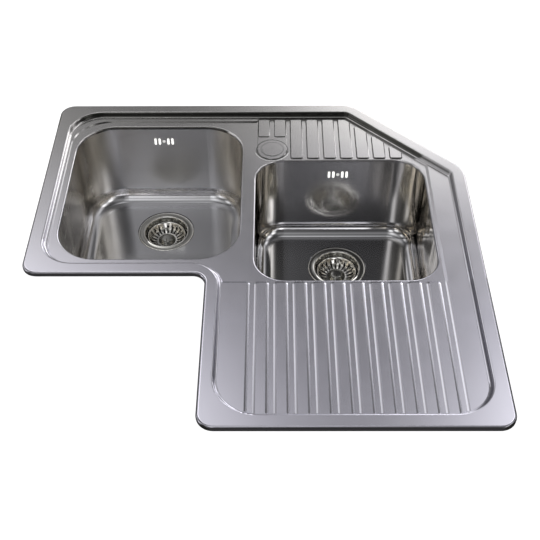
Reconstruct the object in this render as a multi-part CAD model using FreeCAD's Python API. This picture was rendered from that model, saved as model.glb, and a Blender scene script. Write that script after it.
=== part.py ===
"""Corner kitchen sink in stainless steel: two bowls, two drainers and their waste and overflow fittings.

Millimetres. X runs along the back edge, Y towards the back edge, Z up. The origin is the point where
the two inner edges of the L meet, on the worktop, under the seal: Z = 0 is the worktop's top face.
"""
import FreeCAD, Part
import math
import os

from FreeCAD import Vector

# ---- the L-shaped top -------------------------------------------------------------------------
ARM_WIDTH = 500.0            # width of each arm of the L
ARM_REACH = 330.0            # how far each arm runs on past the inner corner
CHAMFER_LEG = 211.0          # what the cut-off back corner takes from each side
OUTER_CORNER_R = 29.0
INNER_CORNER_R = 22.0        # the rounded inner corner of the L
CHAMFER_CORNER_R = 60.0

SHEET = 1.0                  # sheet thickness of top and bowls
RIM_HEIGHT = 8.5             # top face of the border above the worktop
ROLL_R = 5.0                 # rolled outer edge of the border

# ---- the sunk field inside the border ---------------------------------------------------------
BORDER = 24.0                # flat border, to the start of the cove
INNER_BORDER = 21.0          # the border along the drainer's inner edge is narrower
COVE_TOP_R = 4.0
COVE_WALL = 0.3              # upright strip between the two curves
COVE_FOOT_R = 5.2
FIELD_LEFT_BACK_R = 68.0
FIELD_LEFT_FRONT_R = 65.0
FIELD_INNER_R = 50.0
FIELD_DRAINER_LEFT_R = 76.0
FIELD_DRAINER_RIGHT_R = 70.0
FIELD_CHAMFER_RIGHT_R = 12.0
FIELD_CHAMFER_BACK_R = 18.0

# ---- the wet level: ledges round the bowls and the grooves of the drainers ---------------------
WET_STEP = 2.5               # the wet level lies this far below the drainer's plates
STEP_SLOPE = 2.0             # plan width of each sloping step between the two levels
FOOT_LAND = 1.0              # flat strip between the cove and the step
BACK_LAND = 10.5             # wider strip behind the left bowl
WET_LEFT_BACK_R = 75.0
WET_NOTCH_R = 4.0

# ---- bowls ------------------------------------------------------------------------------------
BOWL_DEPTH = 210.0           # from the border's top face to the bowl floor
LEFT_BOWL_WIDTH = 340.0
LEFT_BOWL_CORNER_R = 79.0
RIGHT_BOWL_CORNER_R = 57.0
BOWL_FLOOR_R = 29.0
LEDGE = 15.0                 # from the cove's foot to the left bowl, at its left and front sides
BACK_LEDGE = 28.6            # from the left bowl to the foot of the back cove
RIGHT_LEDGE = 46.1           # from the right bowl to the foot of the right cove
BACK_DRAINER_DEPTH = 172.0   # from the right bowl to the back edge
BOWL_GAP = 28.5              # ledge between the two bowls
RIGHT_BOWL_SETBACK = 6.0     # the right bowl's front edge lies this far in front of the inner corner
LIP_R = 3.0                  # rolled mouth of each bowl
LIP_DROP = 6.0               # depth of the turned-down mouth, to the weld with the bowl

# ---- main drainer -----------------------------------------------------------------------------
GROOVE_COUNT = 11
GROOVE_WIDTH = 8.0           # floor of each groove
GROOVE_SLOPE = 5.0           # plan width of the sloping sides of the plates between the grooves
FIRST_GROOVE_EDGE = 79.7     # left edge of the first groove's floor, from the inner corner
LAST_GROOVE_MARGIN = 73.9    # from the last groove's floor to the right edge of the top
DRAINER_STRIP = 8.6          # from the right bowl to the top of the plates
PLATE_CORNER_R = 7.0         # at the foot of the plates' sloping sides

# ---- back drainer -----------------------------------------------------------------------------
BACK_RIB_COUNT = 9
BACK_RIB_WIDTH = 24.0
BACK_RIB_CORNER_R = 4.5
FIRST_BACK_RIB_EDGE = 90.0   # left edge of the first rib, from the inner corner
BACK_RIB_FRONT_GAP = 0.6     # between the bowl's rolled mouth and the ribs
LAST_BACK_RIB_MARGIN = 19.96 # from the last rib to where the channel along the chamfer meets the ribs' front
BACK_CHANNEL = 5.0           # wet channel between the ribs and the cove
SHORT_RIB_COUNT = 2          # ribs cut short for the tap position
SHORT_RIB_LOSS = 70.0

# ---- blank tap position -----------------------------------------------------------------------
TAP_BLANK_X = 119.0
TAP_SETBACK = 140.0          # from the back edge
TAP_RING_R = 31.0
TAP_DISC_R = 22.0
TAP_WEB_HEIGHT = 1.0
TAP_WEB_CORNER_R = 2.0
TAP_WEB_BACK_GAP = 6.0       # from the web's back edge to the back ends of the ribs
TAP_RING_HEIGHT = 1.8
TAP_DISC_HEIGHT = 2.6

# ---- waste fittings, heights counted down from the bowl floor ------------------------------------
WASTE_SETBACK = 109.0        # waste axis in front of the bowl's back wall
RECESS_R = 61.0              # pressed seat in the bowl floor
RECESS_DEPTH = 2.5
BOWL_HOLE_R = 47.5
FLANGE_SEAL_THICKNESS = 1.2
FLANGE_R = 60.0
FLANGE_HEIGHT = 1.0
CUP_SHEET = 1.0
CUP_MOUTH_R = 45.5
CUP_MOUTH_ROLL = 1.6
CUP_SHOULDER_R = 42.5
CUP_SHOULDER_DEPTH = 12.0
CUP_CONE_R = 39.5
CUP_FLOOR_R = 29.0
CUP_DEPTH = 41.0
GRATE_HOLE_COUNT = 8
GRATE_HOLE_R = 4.6
GRATE_PITCH_R = 18.5
BODY_GASKET_THICKNESS = 2.5
BODY_WALL = 3.0
BODY_CLEARANCE = 1.2         # between the steel cup and the plastic body round it
BODY_FLANGE_R = 58.0
BODY_FLANGE_HEIGHT = 4.0
BODY_FLOOR_GAP = 9.0         # water space under the cup's floor
TAIL_R = 23.9                # 1 1/2 inch outlet
TAIL_BORE_R = 20.0
TAIL_LENGTH = 42.0
BRIDGE_WIDTH = 6.0
BRIDGE_HEIGHT = 9.0
BRIDGE_BOSS_R = 8.5
BODY_SPIGOT_DEPTH = 28.0     # overflow inlet on the waste body, below the bowl floor
BODY_SPIGOT_REACH = 68.0     # its end, from the waste axis
SPIGOT_R = 10.0
SPIGOT_BORE_R = 7.5
SPIGOT_GRIP = 18.0           # length of inlet that the hose is pushed onto, up to the collar
SPIGOT_COLLAR_R = 12.0
SPIGOT_COLLAR_WIDTH = 3.0
SCREW_R = 3.0
SCREW_CLEARANCE = 0.15
SCREW_HEAD_R = 6.0
SCREW_HEAD_HEIGHT = 3.2
SCREW_SLOT_WIDTH = 1.4
SCREW_SLOT_DEPTH = 1.5
NUT_ACROSS_FLATS = 10.0
NUT_HEIGHT = 5.0
NUT_GAP = 0.2

# ---- basket strainer, depths counted down from the flange's top face --------------------------------
BASKET_SHEET = 0.8
BASKET_RIM_R = 41.0
BASKET_RIM_DEPTH = 9.5
BASKET_RIM_ROLL = 1.1
BASKET_WALL_R = 37.0
BASKET_WALL_DEPTH = 13.5
BASKET_FLOOR_R = 21.0
BASKET_FLOOR_DEPTH = 26.0
BASKET_BEND_SHARE = 0.7      # how far down its wall the basket turns in towards the floor
BASKET_SLOT_COUNT = 20
BASKET_SLOT_WIDTH = 3.0
BASKET_SLOT_INNER_R = 22.5
BASKET_SLOT_OUTER_R = 36.5
BASKET_HUB_R = 5.2
KNOB_R = 18.5
KNOB_HEIGHT = 7.0
KNOB_TOP_R = 9.0
STEM_R = 5.0
STEM_FOOT_R = 9.0
STEM_FOOT_HEIGHT = 1.6
PLUG_SEAL_TOP = 31.5
PLUG_SEAL_HEIGHT = 4.0
PLUG_DISC_HEIGHT = 1.2
PLUG_CLEARANCE = 0.35        # rubber plug to the cup's cone
FIT_GAP = 0.05               # between pieces pushed together

# ---- overflows ------------------------------------------------------------------------------------
OVERFLOW_DEPTH = 50.0        # centre of the slots below the border
SLOT_WIDTH = 5.0
SLOT_HEIGHT = 17.0
SLOT_INNER_OFFSET = 9.2
SLOT_PITCH = 8.8
OVERFLOW_HOLE_R = 2.4
OVERFLOW_GASKET_THICKNESS = 2.0
HOUSING_WIDTH = 64.0
HOUSING_HEIGHT = 34.0
HOUSING_DEPTH = 22.0
HOUSING_WALL = 2.2
HOUSING_CORNER_R = 8.0
HOUSING_SPIGOT_LENGTH = 22.0
HOUSING_BOSS_R = 4.0
OVERFLOW_SCREW_R = 2.0
OVERFLOW_HEAD_R = 3.4
OVERFLOW_HEAD_HEIGHT = 1.8
OVERFLOW_SCREW_REACH = 12.0

# ---- under the top ---------------------------------------------------------------------------------
SEAL_INSET = 5.5             # outer edge of the foam seal, from the border's edge
SEAL_WIDTH = 8.0
RAIL_GAP = 1.0               # between seal and rail
RAIL_WIDTH = 6.0
RAIL_HEIGHT = 9.0
RAIL_WALL = 1.0
RAIL_END_MARGIN = 75.0       # from the corner of the L to the rail's end
CLIP_SPACING = 190.0
CLIP_WIDTH = 14.0
CLIP_SHEET = 1.5
CLIP_HOOK_HEIGHT = 6.5
CLIP_FOOT_LEVEL = 46.0       # underside of the clip's foot below the worktop's top face
CLIP_FOOT_REACH = 17.0
CLIP_SCREW_R = 2.5
CLIP_SCREW_TAIL = 15.0       # length of screw left below the clip's foot
WORKTOP = 28.0               # thickness of worktop that the clips are drawn gripping
CLIP_SCREW_HEAD_R = 4.5
CLIP_SCREW_HEAD_HEIGHT = 3.0
CLIP_SCREW_PAD_R = 4.0
CLIP_SCREW_PAD_HEIGHT = 2.0
PAD_THICKNESS = 3.0
PAD_WIDTH = 190.0
PAD_LENGTH = 90.0
PAD_CORNER_R = 12.0
PAD_GAP = 8.0                # between the pad and the waste's gasket

OVERLAP = 0.6                # how far a cutting form runs past the face it opens

# ---- levels and places that follow ---------------------------------------------------------------
COVE_WIDTH = COVE_TOP_R + COVE_FOOT_R
PLATE_Z = RIM_HEIGHT - COVE_TOP_R - COVE_WALL - COVE_FOOT_R
WET_Z = PLATE_Z - WET_STEP
LIP_Z = WET_Z - LIP_DROP
FLOOR_Z = RIM_HEIGHT - BOWL_DEPTH
OVERFLOW_Z = RIM_HEIGHT - OVERFLOW_DEPTH

LEFT = -ARM_REACH
FRONT = -ARM_REACH
RIGHT = ARM_WIDTH
BACK = ARM_WIDTH

LEFT_BOWL_X = LEFT + BORDER + COVE_WIDTH + LEDGE
LEFT_BOWL_Y = BORDER + COVE_WIDTH + LEDGE
RIGHT_BOWL_X = LEFT_BOWL_X + LEFT_BOWL_WIDTH + BOWL_GAP
RIGHT_BOWL_Y = -RIGHT_BOWL_SETBACK
LEFT_BOWL_LENGTH = BACK - BORDER - COVE_WIDTH - BACK_LEDGE - LEFT_BOWL_Y
RIGHT_BOWL_WIDTH = RIGHT - BORDER - COVE_WIDTH - RIGHT_LEDGE - RIGHT_BOWL_X
RIGHT_BOWL_LENGTH = BACK - BACK_DRAINER_DEPTH - RIGHT_BOWL_Y

LEFT_BOWL = {
    "x": LEFT_BOWL_X, "y": LEFT_BOWL_Y,
    "width": LEFT_BOWL_WIDTH, "length": LEFT_BOWL_LENGTH, "corner": LEFT_BOWL_CORNER_R,
}
RIGHT_BOWL = {
    "x": RIGHT_BOWL_X, "y": RIGHT_BOWL_Y,
    "width": RIGHT_BOWL_WIDTH, "length": RIGHT_BOWL_LENGTH, "corner": RIGHT_BOWL_CORNER_R,
}

RIB_PITCH = (RIGHT - LAST_GROOVE_MARGIN - GROOVE_WIDTH - FIRST_GROOVE_EDGE) / (GROOVE_COUNT - 1)
BACK_RIB_SETBACK = BORDER + COVE_WIDTH + FOOT_LAND + BACK_CHANNEL
BACK_RIB_FRONT = BACK - BACK_DRAINER_DEPTH + LIP_R + BACK_RIB_FRONT_GAP
BACK_RIB_DIAGONAL = RIGHT + BACK - CHAMFER_LEG - BACK_RIB_SETBACK * math.sqrt(2)
BACK_RIB_RUN = BACK_RIB_DIAGONAL - BACK_RIB_FRONT - LAST_BACK_RIB_MARGIN - BACK_RIB_WIDTH
BACK_RIB_PITCH = (BACK_RIB_RUN - FIRST_BACK_RIB_EDGE) / (BACK_RIB_COUNT - 1)
TAP_BLANK_Y = BACK - TAP_SETBACK

OUTLINE = [
    (LEFT, 0.0), (0.0, 0.0), (0.0, FRONT), (RIGHT, FRONT),
    (RIGHT, BACK - CHAMFER_LEG), (RIGHT - CHAMFER_LEG, BACK), (LEFT, BACK),
]
OUTLINE_RADII = [
    OUTER_CORNER_R, INNER_CORNER_R, OUTER_CORNER_R, OUTER_CORNER_R,
    CHAMFER_CORNER_R, CHAMFER_CORNER_R, OUTER_CORNER_R,
]
BORDERS = [BORDER, INNER_BORDER, BORDER, BORDER, BORDER, BORDER, BORDER]
FIELD_RADII = [
    FIELD_LEFT_FRONT_R, FIELD_INNER_R, FIELD_DRAINER_LEFT_R, FIELD_DRAINER_RIGHT_R,
    FIELD_CHAMFER_RIGHT_R, FIELD_CHAMFER_BACK_R, FIELD_LEFT_BACK_R,
]


# ---- outlines ----------------------------------------------------------------------------------
def turns(points):
    """Sine of the turn at each corner of a closed outline: above zero where it is convex."""
    result = []
    for i, (x, y) in enumerate(points):
        ax, ay = points[i - 1]
        bx, by = points[(i + 1) % len(points)]
        cross = (x - ax) * (by - y) - (y - ay) * (bx - x)
        result.append(cross / math.hypot(x - ax, y - ay) / math.hypot(bx - x, by - y))
    return result


def inset(points, radii, distance):
    """A closed outline, with its inside on the left, moved inwards by one distance or by one per side."""
    sides = distance if isinstance(distance, list) else [distance] * len(points)
    moved = []
    for i, (x, y) in enumerate(points):
        ax, ay = points[i - 1]
        bx, by = points[(i + 1) % len(points)]
        u = Vector(x - ax, y - ay, 0).normalize()
        v = Vector(bx - x, by - y, 0).normalize()
        d, e = sides[i - 1], sides[i]
        sine = u.x * v.y - u.y * v.x
        shift = u * ((d * (u.x * v.x + u.y * v.y) - e) / sine) + Vector(-u.y, u.x, 0) * d
        moved.append((x + shift.x, y + shift.y))
    even = min(sides)
    rounded = [r - even if turn > 0 else r + even for r, turn in zip(radii, turns(points))]
    return moved, rounded


def outline_wire(points, radii, z):
    """Closed wire through the points at height z, each corner an arc of its radius."""
    edges = []
    starts = []
    ends = []
    for i, (x, y) in enumerate(points):
        corner = Vector(x, y, z)
        ax, ay = points[i - 1]
        bx, by = points[(i + 1) % len(points)]
        back = Vector(ax - x, ay - y, 0).normalize()
        ahead = Vector(bx - x, by - y, 0).normalize()
        half = back.getAngle(ahead) / 2
        run = radii[i] / math.tan(half)
        middle = (back + ahead).normalize() * (radii[i] / math.sin(half) - radii[i])
        first = corner + back * run
        last = corner + ahead * run
        edges.append(Part.Arc(first, corner + middle, last).toShape())
        starts.append(first)
        ends.append(last)
    closed = []
    for i, arc in enumerate(edges):
        following = starts[(i + 1) % len(points)]
        closed.append(arc)
        if (following - ends[i]).Length > 1e-6:
            closed.append(Part.LineSegment(ends[i], following).toShape())
    return Part.Wire(closed)


def prism(points, radii, low, high):
    face = Part.Face(outline_wire(points, radii, low))
    return face.extrude(Vector(0, 0, high - low))


def taper(points, radii, low, high, closing):
    """Solid between two heights: the outline, given at the low one, closes in by that much on the way up."""
    upper, upper_radii = inset(points, radii, closing)
    wires = [outline_wire(points, radii, low), outline_wire(upper, upper_radii, high)]
    return Part.makeLoft(wires, True, True)


def rectangle(x0, y0, x1, y1):
    return [(x0, y0), (x1, y0), (x1, y1), (x0, y1)]


def edges_on(shape, wire):
    """The shape's edges whose middles lie on the wire."""
    found = []
    for edge in shape.Edges:
        middle = edge.valueAt((edge.FirstParameter + edge.LastParameter) / 2)
        if wire.distToShape(Part.Vertex(middle))[0] < 1e-3:
            found.append(edge)
    return found


def ring_profile(points):
    """Solid of revolution about Z from a closed profile of (radius, height) points."""
    corners = [Vector(r, 0, z) for r, z in points]
    face = Part.Face(Part.makePolygon(corners + corners[:1]))
    return face.revolve(Vector(0, 0, 0), Vector(0, 0, 1), 360)


def cylinder(radius, low, high):
    return Part.makeCylinder(radius, high - low, Vector(0, 0, low))


def tube(outer, inner, low, high):
    return cylinder(outer, low, high).cut(cylinder(inner, low - OVERLAP, high + OVERLAP))


# ---- pressed top --------------------------------------------------------------------------------
def field_outline():
    """The edge of the flat border, where the cove begins."""
    points, _ = inset(OUTLINE, OUTLINE_RADII, BORDERS)
    return points, FIELD_RADII


def wet_outline():
    """The upper edge of the wet level: it follows the cove's foot, and stands off behind the left bowl."""
    field, radii = field_outline()
    foot, foot_radii = inset(field, radii, COVE_WIDTH + FOOT_LAND)
    left_front, inner, drainer_left, drainer_right, chamfer_right, chamfer_back, left_back = foot
    step_x = FIRST_BACK_RIB_EDGE - STEP_SLOPE
    step_y = left_back[1] - BACK_LAND
    points = [
        left_front, inner, drainer_left, drainer_right, chamfer_right, chamfer_back,
        (step_x, left_back[1]), (step_x, step_y), (left_back[0], step_y),
    ]
    rounds = foot_radii[:4] + [WET_NOTCH_R, WET_NOTCH_R, WET_NOTCH_R, WET_NOTCH_R, WET_LEFT_BACK_R]
    return points, rounds


def plate_outlines():
    """The raised plates and ribs of the main drainer, as outlines at the wet level."""
    back = RIGHT_BOWL_Y - DRAINER_STRIP + GROOVE_SLOPE
    front = FRONT + BORDER
    first = FIRST_GROOVE_EDGE
    outlines = [rectangle(INNER_BORDER, front, first, back)]
    for i in range(GROOVE_COUNT - 1):
        left = first + i * RIB_PITCH + GROOVE_WIDTH
        outlines.append(rectangle(left, front, first + (i + 1) * RIB_PITCH, back))
    right = first + (GROOVE_COUNT - 1) * RIB_PITCH + GROOVE_WIDTH
    outlines.append(rectangle(right, front, RIGHT, BACK))
    return outlines


def back_rib_outlines():
    """The ribs of the back drainer, cut off along the chamfer, as outlines at the wet level."""
    back = BACK - BACK_RIB_SETBACK
    diagonal = BACK_RIB_DIAGONAL
    outlines = []
    for i in range(BACK_RIB_COUNT):
        left = FIRST_BACK_RIB_EDGE + i * BACK_RIB_PITCH - STEP_SLOPE / 2
        right = left + BACK_RIB_WIDTH + STEP_SLOPE
        front = BACK_RIB_FRONT
        if i < SHORT_RIB_COUNT:
            front += SHORT_RIB_LOSS
        if right + back - diagonal < BACK_RIB_CORNER_R:
            outlines.append(rectangle(left, front, right, back))
        elif diagonal - left - back > BACK_RIB_CORNER_R:
            outlines.append([(left, front), (right, front), (right, diagonal - right),
                             (diagonal - back, back), (left, back)])
        else:
            outlines.append([(left, front), (right, front), (right, diagonal - right),
                             (left, diagonal - left)])
    return outlines


def tap_blank(skin):
    """The blank tap position: a web that joins the short ribs, and on it a ring and a disc."""
    low = WET_Z - skin - OVERLAP
    slope = STEP_SLOPE / WET_STEP
    left = FIRST_BACK_RIB_EDGE - STEP_SLOPE / 2
    right = left + (SHORT_RIB_COUNT - 1) * BACK_RIB_PITCH + BACK_RIB_WIDTH + STEP_SLOPE
    back = BACK - BACK_RIB_SETBACK - TAP_WEB_BACK_GAP
    rounds = [TAP_WEB_CORNER_R] * 4
    base = inset(rectangle(left, TAP_BLANK_Y, right, back), rounds, skin - slope * OVERLAP)
    web = taper(*base, low, low + TAP_WEB_HEIGHT + OVERLAP, slope * (TAP_WEB_HEIGHT + OVERLAP))
    ring = Part.makeCone(TAP_RING_R - skin, TAP_RING_R - skin - STEP_SLOPE, TAP_RING_HEIGHT + OVERLAP)
    disc = Part.makeCone(TAP_DISC_R - skin, TAP_DISC_R - skin - STEP_SLOPE, TAP_DISC_HEIGHT + OVERLAP)
    for stage in (ring, disc):
        stage.translate(Vector(TAP_BLANK_X, TAP_BLANK_Y, low))
    return [web, ring, disc]


def wet_level(skin):
    """The form that sinks the wet level into the plates; skin offsets it for the sheet's underside."""
    points, radii = wet_outline()
    low = WET_Z - skin
    high = PLATE_Z - skin + OVERLAP
    slope = STEP_SLOPE / WET_STEP
    floor, floor_radii = inset(points, radii, STEP_SLOPE - skin)
    form = taper(floor, floor_radii, low, high, -slope * (high - low))
    raised = []
    for outlines, corner, run in (
            (plate_outlines(), PLATE_CORNER_R, GROOVE_SLOPE),
            (back_rib_outlines(), BACK_RIB_CORNER_R, STEP_SLOPE)):
        lean = run / WET_STEP
        for outline in outlines:
            base, base_radii = inset(outline, [corner] * len(outline), skin - lean * OVERLAP)
            raised.append(taper(base, base_radii, low - OVERLAP, high, lean * (high - low + OVERLAP)))
    return form.cut(raised + tap_blank(skin))


def bowl_outline(bowl, grow=0.0):
    points = rectangle(bowl["x"], bowl["y"], bowl["x"] + bowl["width"], bowl["y"] + bowl["length"])
    return inset(points, [bowl["corner"]] * 4, -grow)


def top_form(skin):
    """Solid under the deck's upper face; with skin set, the solid under its lower face."""
    top = RIM_HEIGHT - skin
    base = LIP_Z - skin
    edge = inset(OUTLINE, OUTLINE_RADII, skin)
    field = inset(*field_outline(), COVE_TOP_R - skin)
    body = prism(*edge, base, top)
    hollow = prism(*field, PLATE_Z - skin, top + OVERLAP)
    hollow = hollow.makeFillet(COVE_FOOT_R + skin, edges_on(hollow, outline_wire(*field, PLATE_Z - skin)))
    body = body.cut(hollow)
    body = body.makeFillet(ROLL_R - skin, edges_on(body, outline_wire(*edge, top)))
    body = body.makeFillet(COVE_TOP_R - skin, edges_on(body, outline_wire(*field, top)))
    body = body.cut(wet_level(skin))
    for bowl in (LEFT_BOWL, RIGHT_BOWL):
        mouth = bowl_outline(bowl, skin)
        body = body.cut(prism(*mouth, base - OVERLAP, PLATE_Z))
        body = body.makeFillet(LIP_R - skin, edges_on(body, outline_wire(*mouth, WET_Z - skin)))
    return body


def deck():
    """The pressed top: rolled border, cove, drainer plates, wet level and the turned-down bowl mouths."""
    sheet = top_form(0.0).cut(top_form(SHEET))
    outside = inset(OUTLINE, OUTLINE_RADII, -OVERLAP)
    inside = inset(OUTLINE, OUTLINE_RADII, BORDER / 2)
    below = prism(*outside, LIP_Z - 2 * SHEET, 0.0).cut(prism(*inside, LIP_Z - 3 * SHEET, OVERLAP))
    return sheet.cut(below)


# ---- bowls ---------------------------------------------------------------------------------------
def waste_axis(bowl):
    return Vector(bowl["x"] + bowl["width"] / 2, bowl["y"] + bowl["length"] - WASTE_SETBACK, FLOOR_Z)


def overflow_axis(bowl):
    """The middle of the overflow slots, on the back wall's outer face."""
    return Vector(bowl["x"] + bowl["width"] / 2, bowl["y"] + bowl["length"] + SHEET, OVERFLOW_Z)


def slot_offsets():
    near = SLOT_INNER_OFFSET
    far = SLOT_INNER_OFFSET + SLOT_PITCH
    return [-far, -near, near, far]


def overflow_slot(offset, thickness):
    """One upright slot with round ends, cut along Y."""
    half = SLOT_WIDTH / 2
    straight = SLOT_HEIGHT - SLOT_WIDTH
    slot = Part.makeBox(SLOT_WIDTH, thickness, straight, Vector(offset - half, 0, -straight / 2))
    for z in (-straight / 2, straight / 2):
        slot = slot.fuse(Part.makeCylinder(half, thickness, Vector(offset, 0, z), Vector(0, 1, 0)))
    return slot


def bowl_form(bowl, skin):
    low = FLOOR_Z - skin
    outline = bowl_outline(bowl, skin)
    form = prism(*outline, low, LIP_Z)
    form = form.makeFillet(BOWL_FLOOR_R + skin, edges_on(form, outline_wire(*outline, low)))
    seat = cylinder(RECESS_R + skin, -RECESS_DEPTH - skin, BOWL_FLOOR_R)
    seat.translate(waste_axis(bowl))
    return form.fuse(seat)


def bowl_shell(bowl):
    """A drawn bowl with its waste seat and hole, and the overflow slots in the back wall."""
    shell = bowl_form(bowl, SHEET).cut(bowl_form(bowl, 0.0))
    hole = cylinder(BOWL_HOLE_R, -BOWL_FLOOR_R, BOWL_FLOOR_R)
    hole.translate(waste_axis(bowl))
    cuts = [hole]
    through = SHEET + 2 * OVERLAP
    for offset in slot_offsets():
        cuts.append(overflow_slot(offset, through))
    cuts.append(Part.makeCylinder(OVERFLOW_HOLE_R, through, Vector(0, 0, 0), Vector(0, 1, 0)))
    for cut in cuts[1:]:
        cut.translate(overflow_axis(bowl) - Vector(0, SHEET + OVERLAP, 0))
    return shell.cut(cuts)


def sound_pad(bowl):
    """Damping pad glued under the bowl floor, in front of the waste."""
    axis = waste_axis(bowl)
    back = axis.y - max(RECESS_R + SHEET, BODY_FLANGE_R) - PAD_GAP
    outline = rectangle(axis.x - PAD_WIDTH / 2, back - PAD_LENGTH, axis.x + PAD_WIDTH / 2, back)
    return prism(outline, [PAD_CORNER_R] * 4, FLOOR_Z - SHEET - PAD_THICKNESS, FLOOR_Z - SHEET)


# ---- waste fitting, each piece modelled about Z with the bowl floor at zero ------------------------
FLANGE_TOP = -RECESS_DEPTH + FLANGE_SEAL_THICKNESS + FLANGE_HEIGHT
CUP_FLOOR = FLANGE_TOP - CUP_DEPTH
BOWL_UNDERSIDE = -RECESS_DEPTH - SHEET
BODY_TOP = BOWL_UNDERSIDE - BODY_GASKET_THICKNESS
BODY_FLOOR = CUP_FLOOR - CUP_SHEET - BODY_FLOOR_GAP
TAIL_END = BODY_FLOOR - TAIL_LENGTH
BRIDGE_LOW = BODY_FLOOR - BRIDGE_HEIGHT


def cone_radius(depth):
    """Inner radius of the cup's cone at a depth below the flange's top face."""
    share = (depth - CUP_SHOULDER_DEPTH) / (CUP_DEPTH - CUP_SHOULDER_DEPTH)
    return CUP_CONE_R + (CUP_FLOOR_R - CUP_CONE_R) * share


def flange_seal():
    outer = FLANGE_R - FLANGE_HEIGHT - FIT_GAP
    return tube(outer, BOWL_HOLE_R, -RECESS_DEPTH, -RECESS_DEPTH + FLANGE_SEAL_THICKNESS)


def strainer_cup():
    """The steel cup: flange with a turned edge, rolled mouth, shoulder, cone and a pierced floor."""
    top = FLANGE_TOP
    shoulder = top - CUP_SHOULDER_DEPTH
    under = top - FLANGE_HEIGHT
    outside = CUP_SHEET
    profile = [
        (0, CUP_FLOOR - outside), (CUP_FLOOR_R + outside / 2, CUP_FLOOR - outside),
        (CUP_CONE_R + outside, shoulder - outside / 2), (CUP_SHOULDER_R + outside, shoulder),
        (CUP_MOUTH_R + outside, under), (FLANGE_R - FLANGE_HEIGHT, under),
        (FLANGE_R - FLANGE_HEIGHT, -RECESS_DEPTH), (FLANGE_R, -RECESS_DEPTH), (FLANGE_R, under),
        (FLANGE_R - FLANGE_HEIGHT, top), (CUP_MOUTH_R + CUP_MOUTH_ROLL, top),
        (CUP_MOUTH_R, top - CUP_MOUTH_ROLL), (CUP_SHOULDER_R, shoulder),
        (CUP_CONE_R, shoulder - outside / 2), (CUP_FLOOR_R, CUP_FLOOR), (0, CUP_FLOOR),
    ]
    cup = ring_profile(profile)
    cuts = [cylinder(SCREW_R + SCREW_CLEARANCE, CUP_FLOOR - 2 * outside, CUP_FLOOR + outside)]
    for i in range(GRATE_HOLE_COUNT):
        angle = 2 * math.pi * i / GRATE_HOLE_COUNT
        hole = cylinder(GRATE_HOLE_R, CUP_FLOOR - 2 * outside, CUP_FLOOR + outside)
        hole.translate(Vector(GRATE_PITCH_R * math.cos(angle), GRATE_PITCH_R * math.sin(angle), 0))
        cuts.append(hole)
    return cup.cut(cuts)


def body_gasket():
    return tube(BODY_FLANGE_R, BOWL_HOLE_R, BODY_TOP, BOWL_UNDERSIDE)


def waste_body():
    """The plastic body under the bowl: flange, funnel round the cup, outlet tail and overflow inlet."""
    inner_top = CUP_MOUTH_R + CUP_SHEET + BODY_CLEARANCE
    inner_low = CUP_FLOOR_R + CUP_SHEET + 2 * BODY_CLEARANCE
    flange_under = BODY_TOP - BODY_FLANGE_HEIGHT
    outside = ring_profile([
        (0, TAIL_END), (TAIL_R, TAIL_END), (TAIL_R, BODY_FLOOR - BODY_WALL),
        (inner_low + BODY_WALL, BODY_FLOOR), (inner_top + BODY_WALL, flange_under),
        (BODY_FLANGE_R, flange_under), (BODY_FLANGE_R, BODY_TOP), (0, BODY_TOP),
    ])
    inside = ring_profile([
        (0, BODY_FLOOR), (inner_low, BODY_FLOOR), (inner_top, flange_under),
        (inner_top, BODY_TOP + OVERLAP), (0, BODY_TOP + OVERLAP),
    ])
    bore = cylinder(TAIL_BORE_R, TAIL_END - OVERLAP, BODY_FLOOR + OVERLAP)
    spigot_z = -BODY_SPIGOT_DEPTH
    spigot = Part.makeCylinder(SPIGOT_R, BODY_SPIGOT_REACH, Vector(0, 0, spigot_z), Vector(0, 1, 0))
    spigot_bore = Part.makeCylinder(SPIGOT_BORE_R, BODY_SPIGOT_REACH + OVERLAP, Vector(0, 0, spigot_z),
                                    Vector(0, 1, 0))
    collar = Part.makeCylinder(SPIGOT_COLLAR_R, SPIGOT_COLLAR_WIDTH,
                               Vector(0, BODY_SPIGOT_REACH - SPIGOT_GRIP - SPIGOT_COLLAR_WIDTH, spigot_z),
                               Vector(0, 1, 0))
    body = outside.fuse([spigot, collar]).cut([inside, bore, spigot_bore])
    bridge = Part.makeBox(2 * TAIL_BORE_R + BODY_WALL, BRIDGE_WIDTH, BRIDGE_HEIGHT,
                          Vector(-TAIL_BORE_R - BODY_WALL / 2, -BRIDGE_WIDTH / 2, BRIDGE_LOW))
    bridge = bridge.fuse(cylinder(BRIDGE_BOSS_R, BRIDGE_LOW, BODY_FLOOR))
    bridge = bridge.cut([cylinder(SCREW_R + SCREW_CLEARANCE, BRIDGE_LOW - OVERLAP, BODY_FLOOR + OVERLAP),
                         nut_form(NUT_GAP, OVERLAP)])
    return body.fuse(bridge)


def nut_form(gap, extra):
    """The nut's hexagon, or with a gap the pocket that holds it under the bridge."""
    radius = (NUT_ACROSS_FLATS / 2 + gap) / math.cos(math.pi / 6)
    corners = []
    for i in range(6):
        angle = math.pi / 3 * i
        corners.append(Vector(radius * math.cos(angle), radius * math.sin(angle), BRIDGE_LOW - extra))
    face = Part.Face(Part.makePolygon(corners + corners[:1]))
    return face.extrude(Vector(0, 0, NUT_HEIGHT + extra))


def clamp_nut():
    return nut_form(0.0, 0.0).cut(cylinder(SCREW_R + SCREW_CLEARANCE, BRIDGE_LOW - OVERLAP, BODY_FLOOR))


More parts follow.
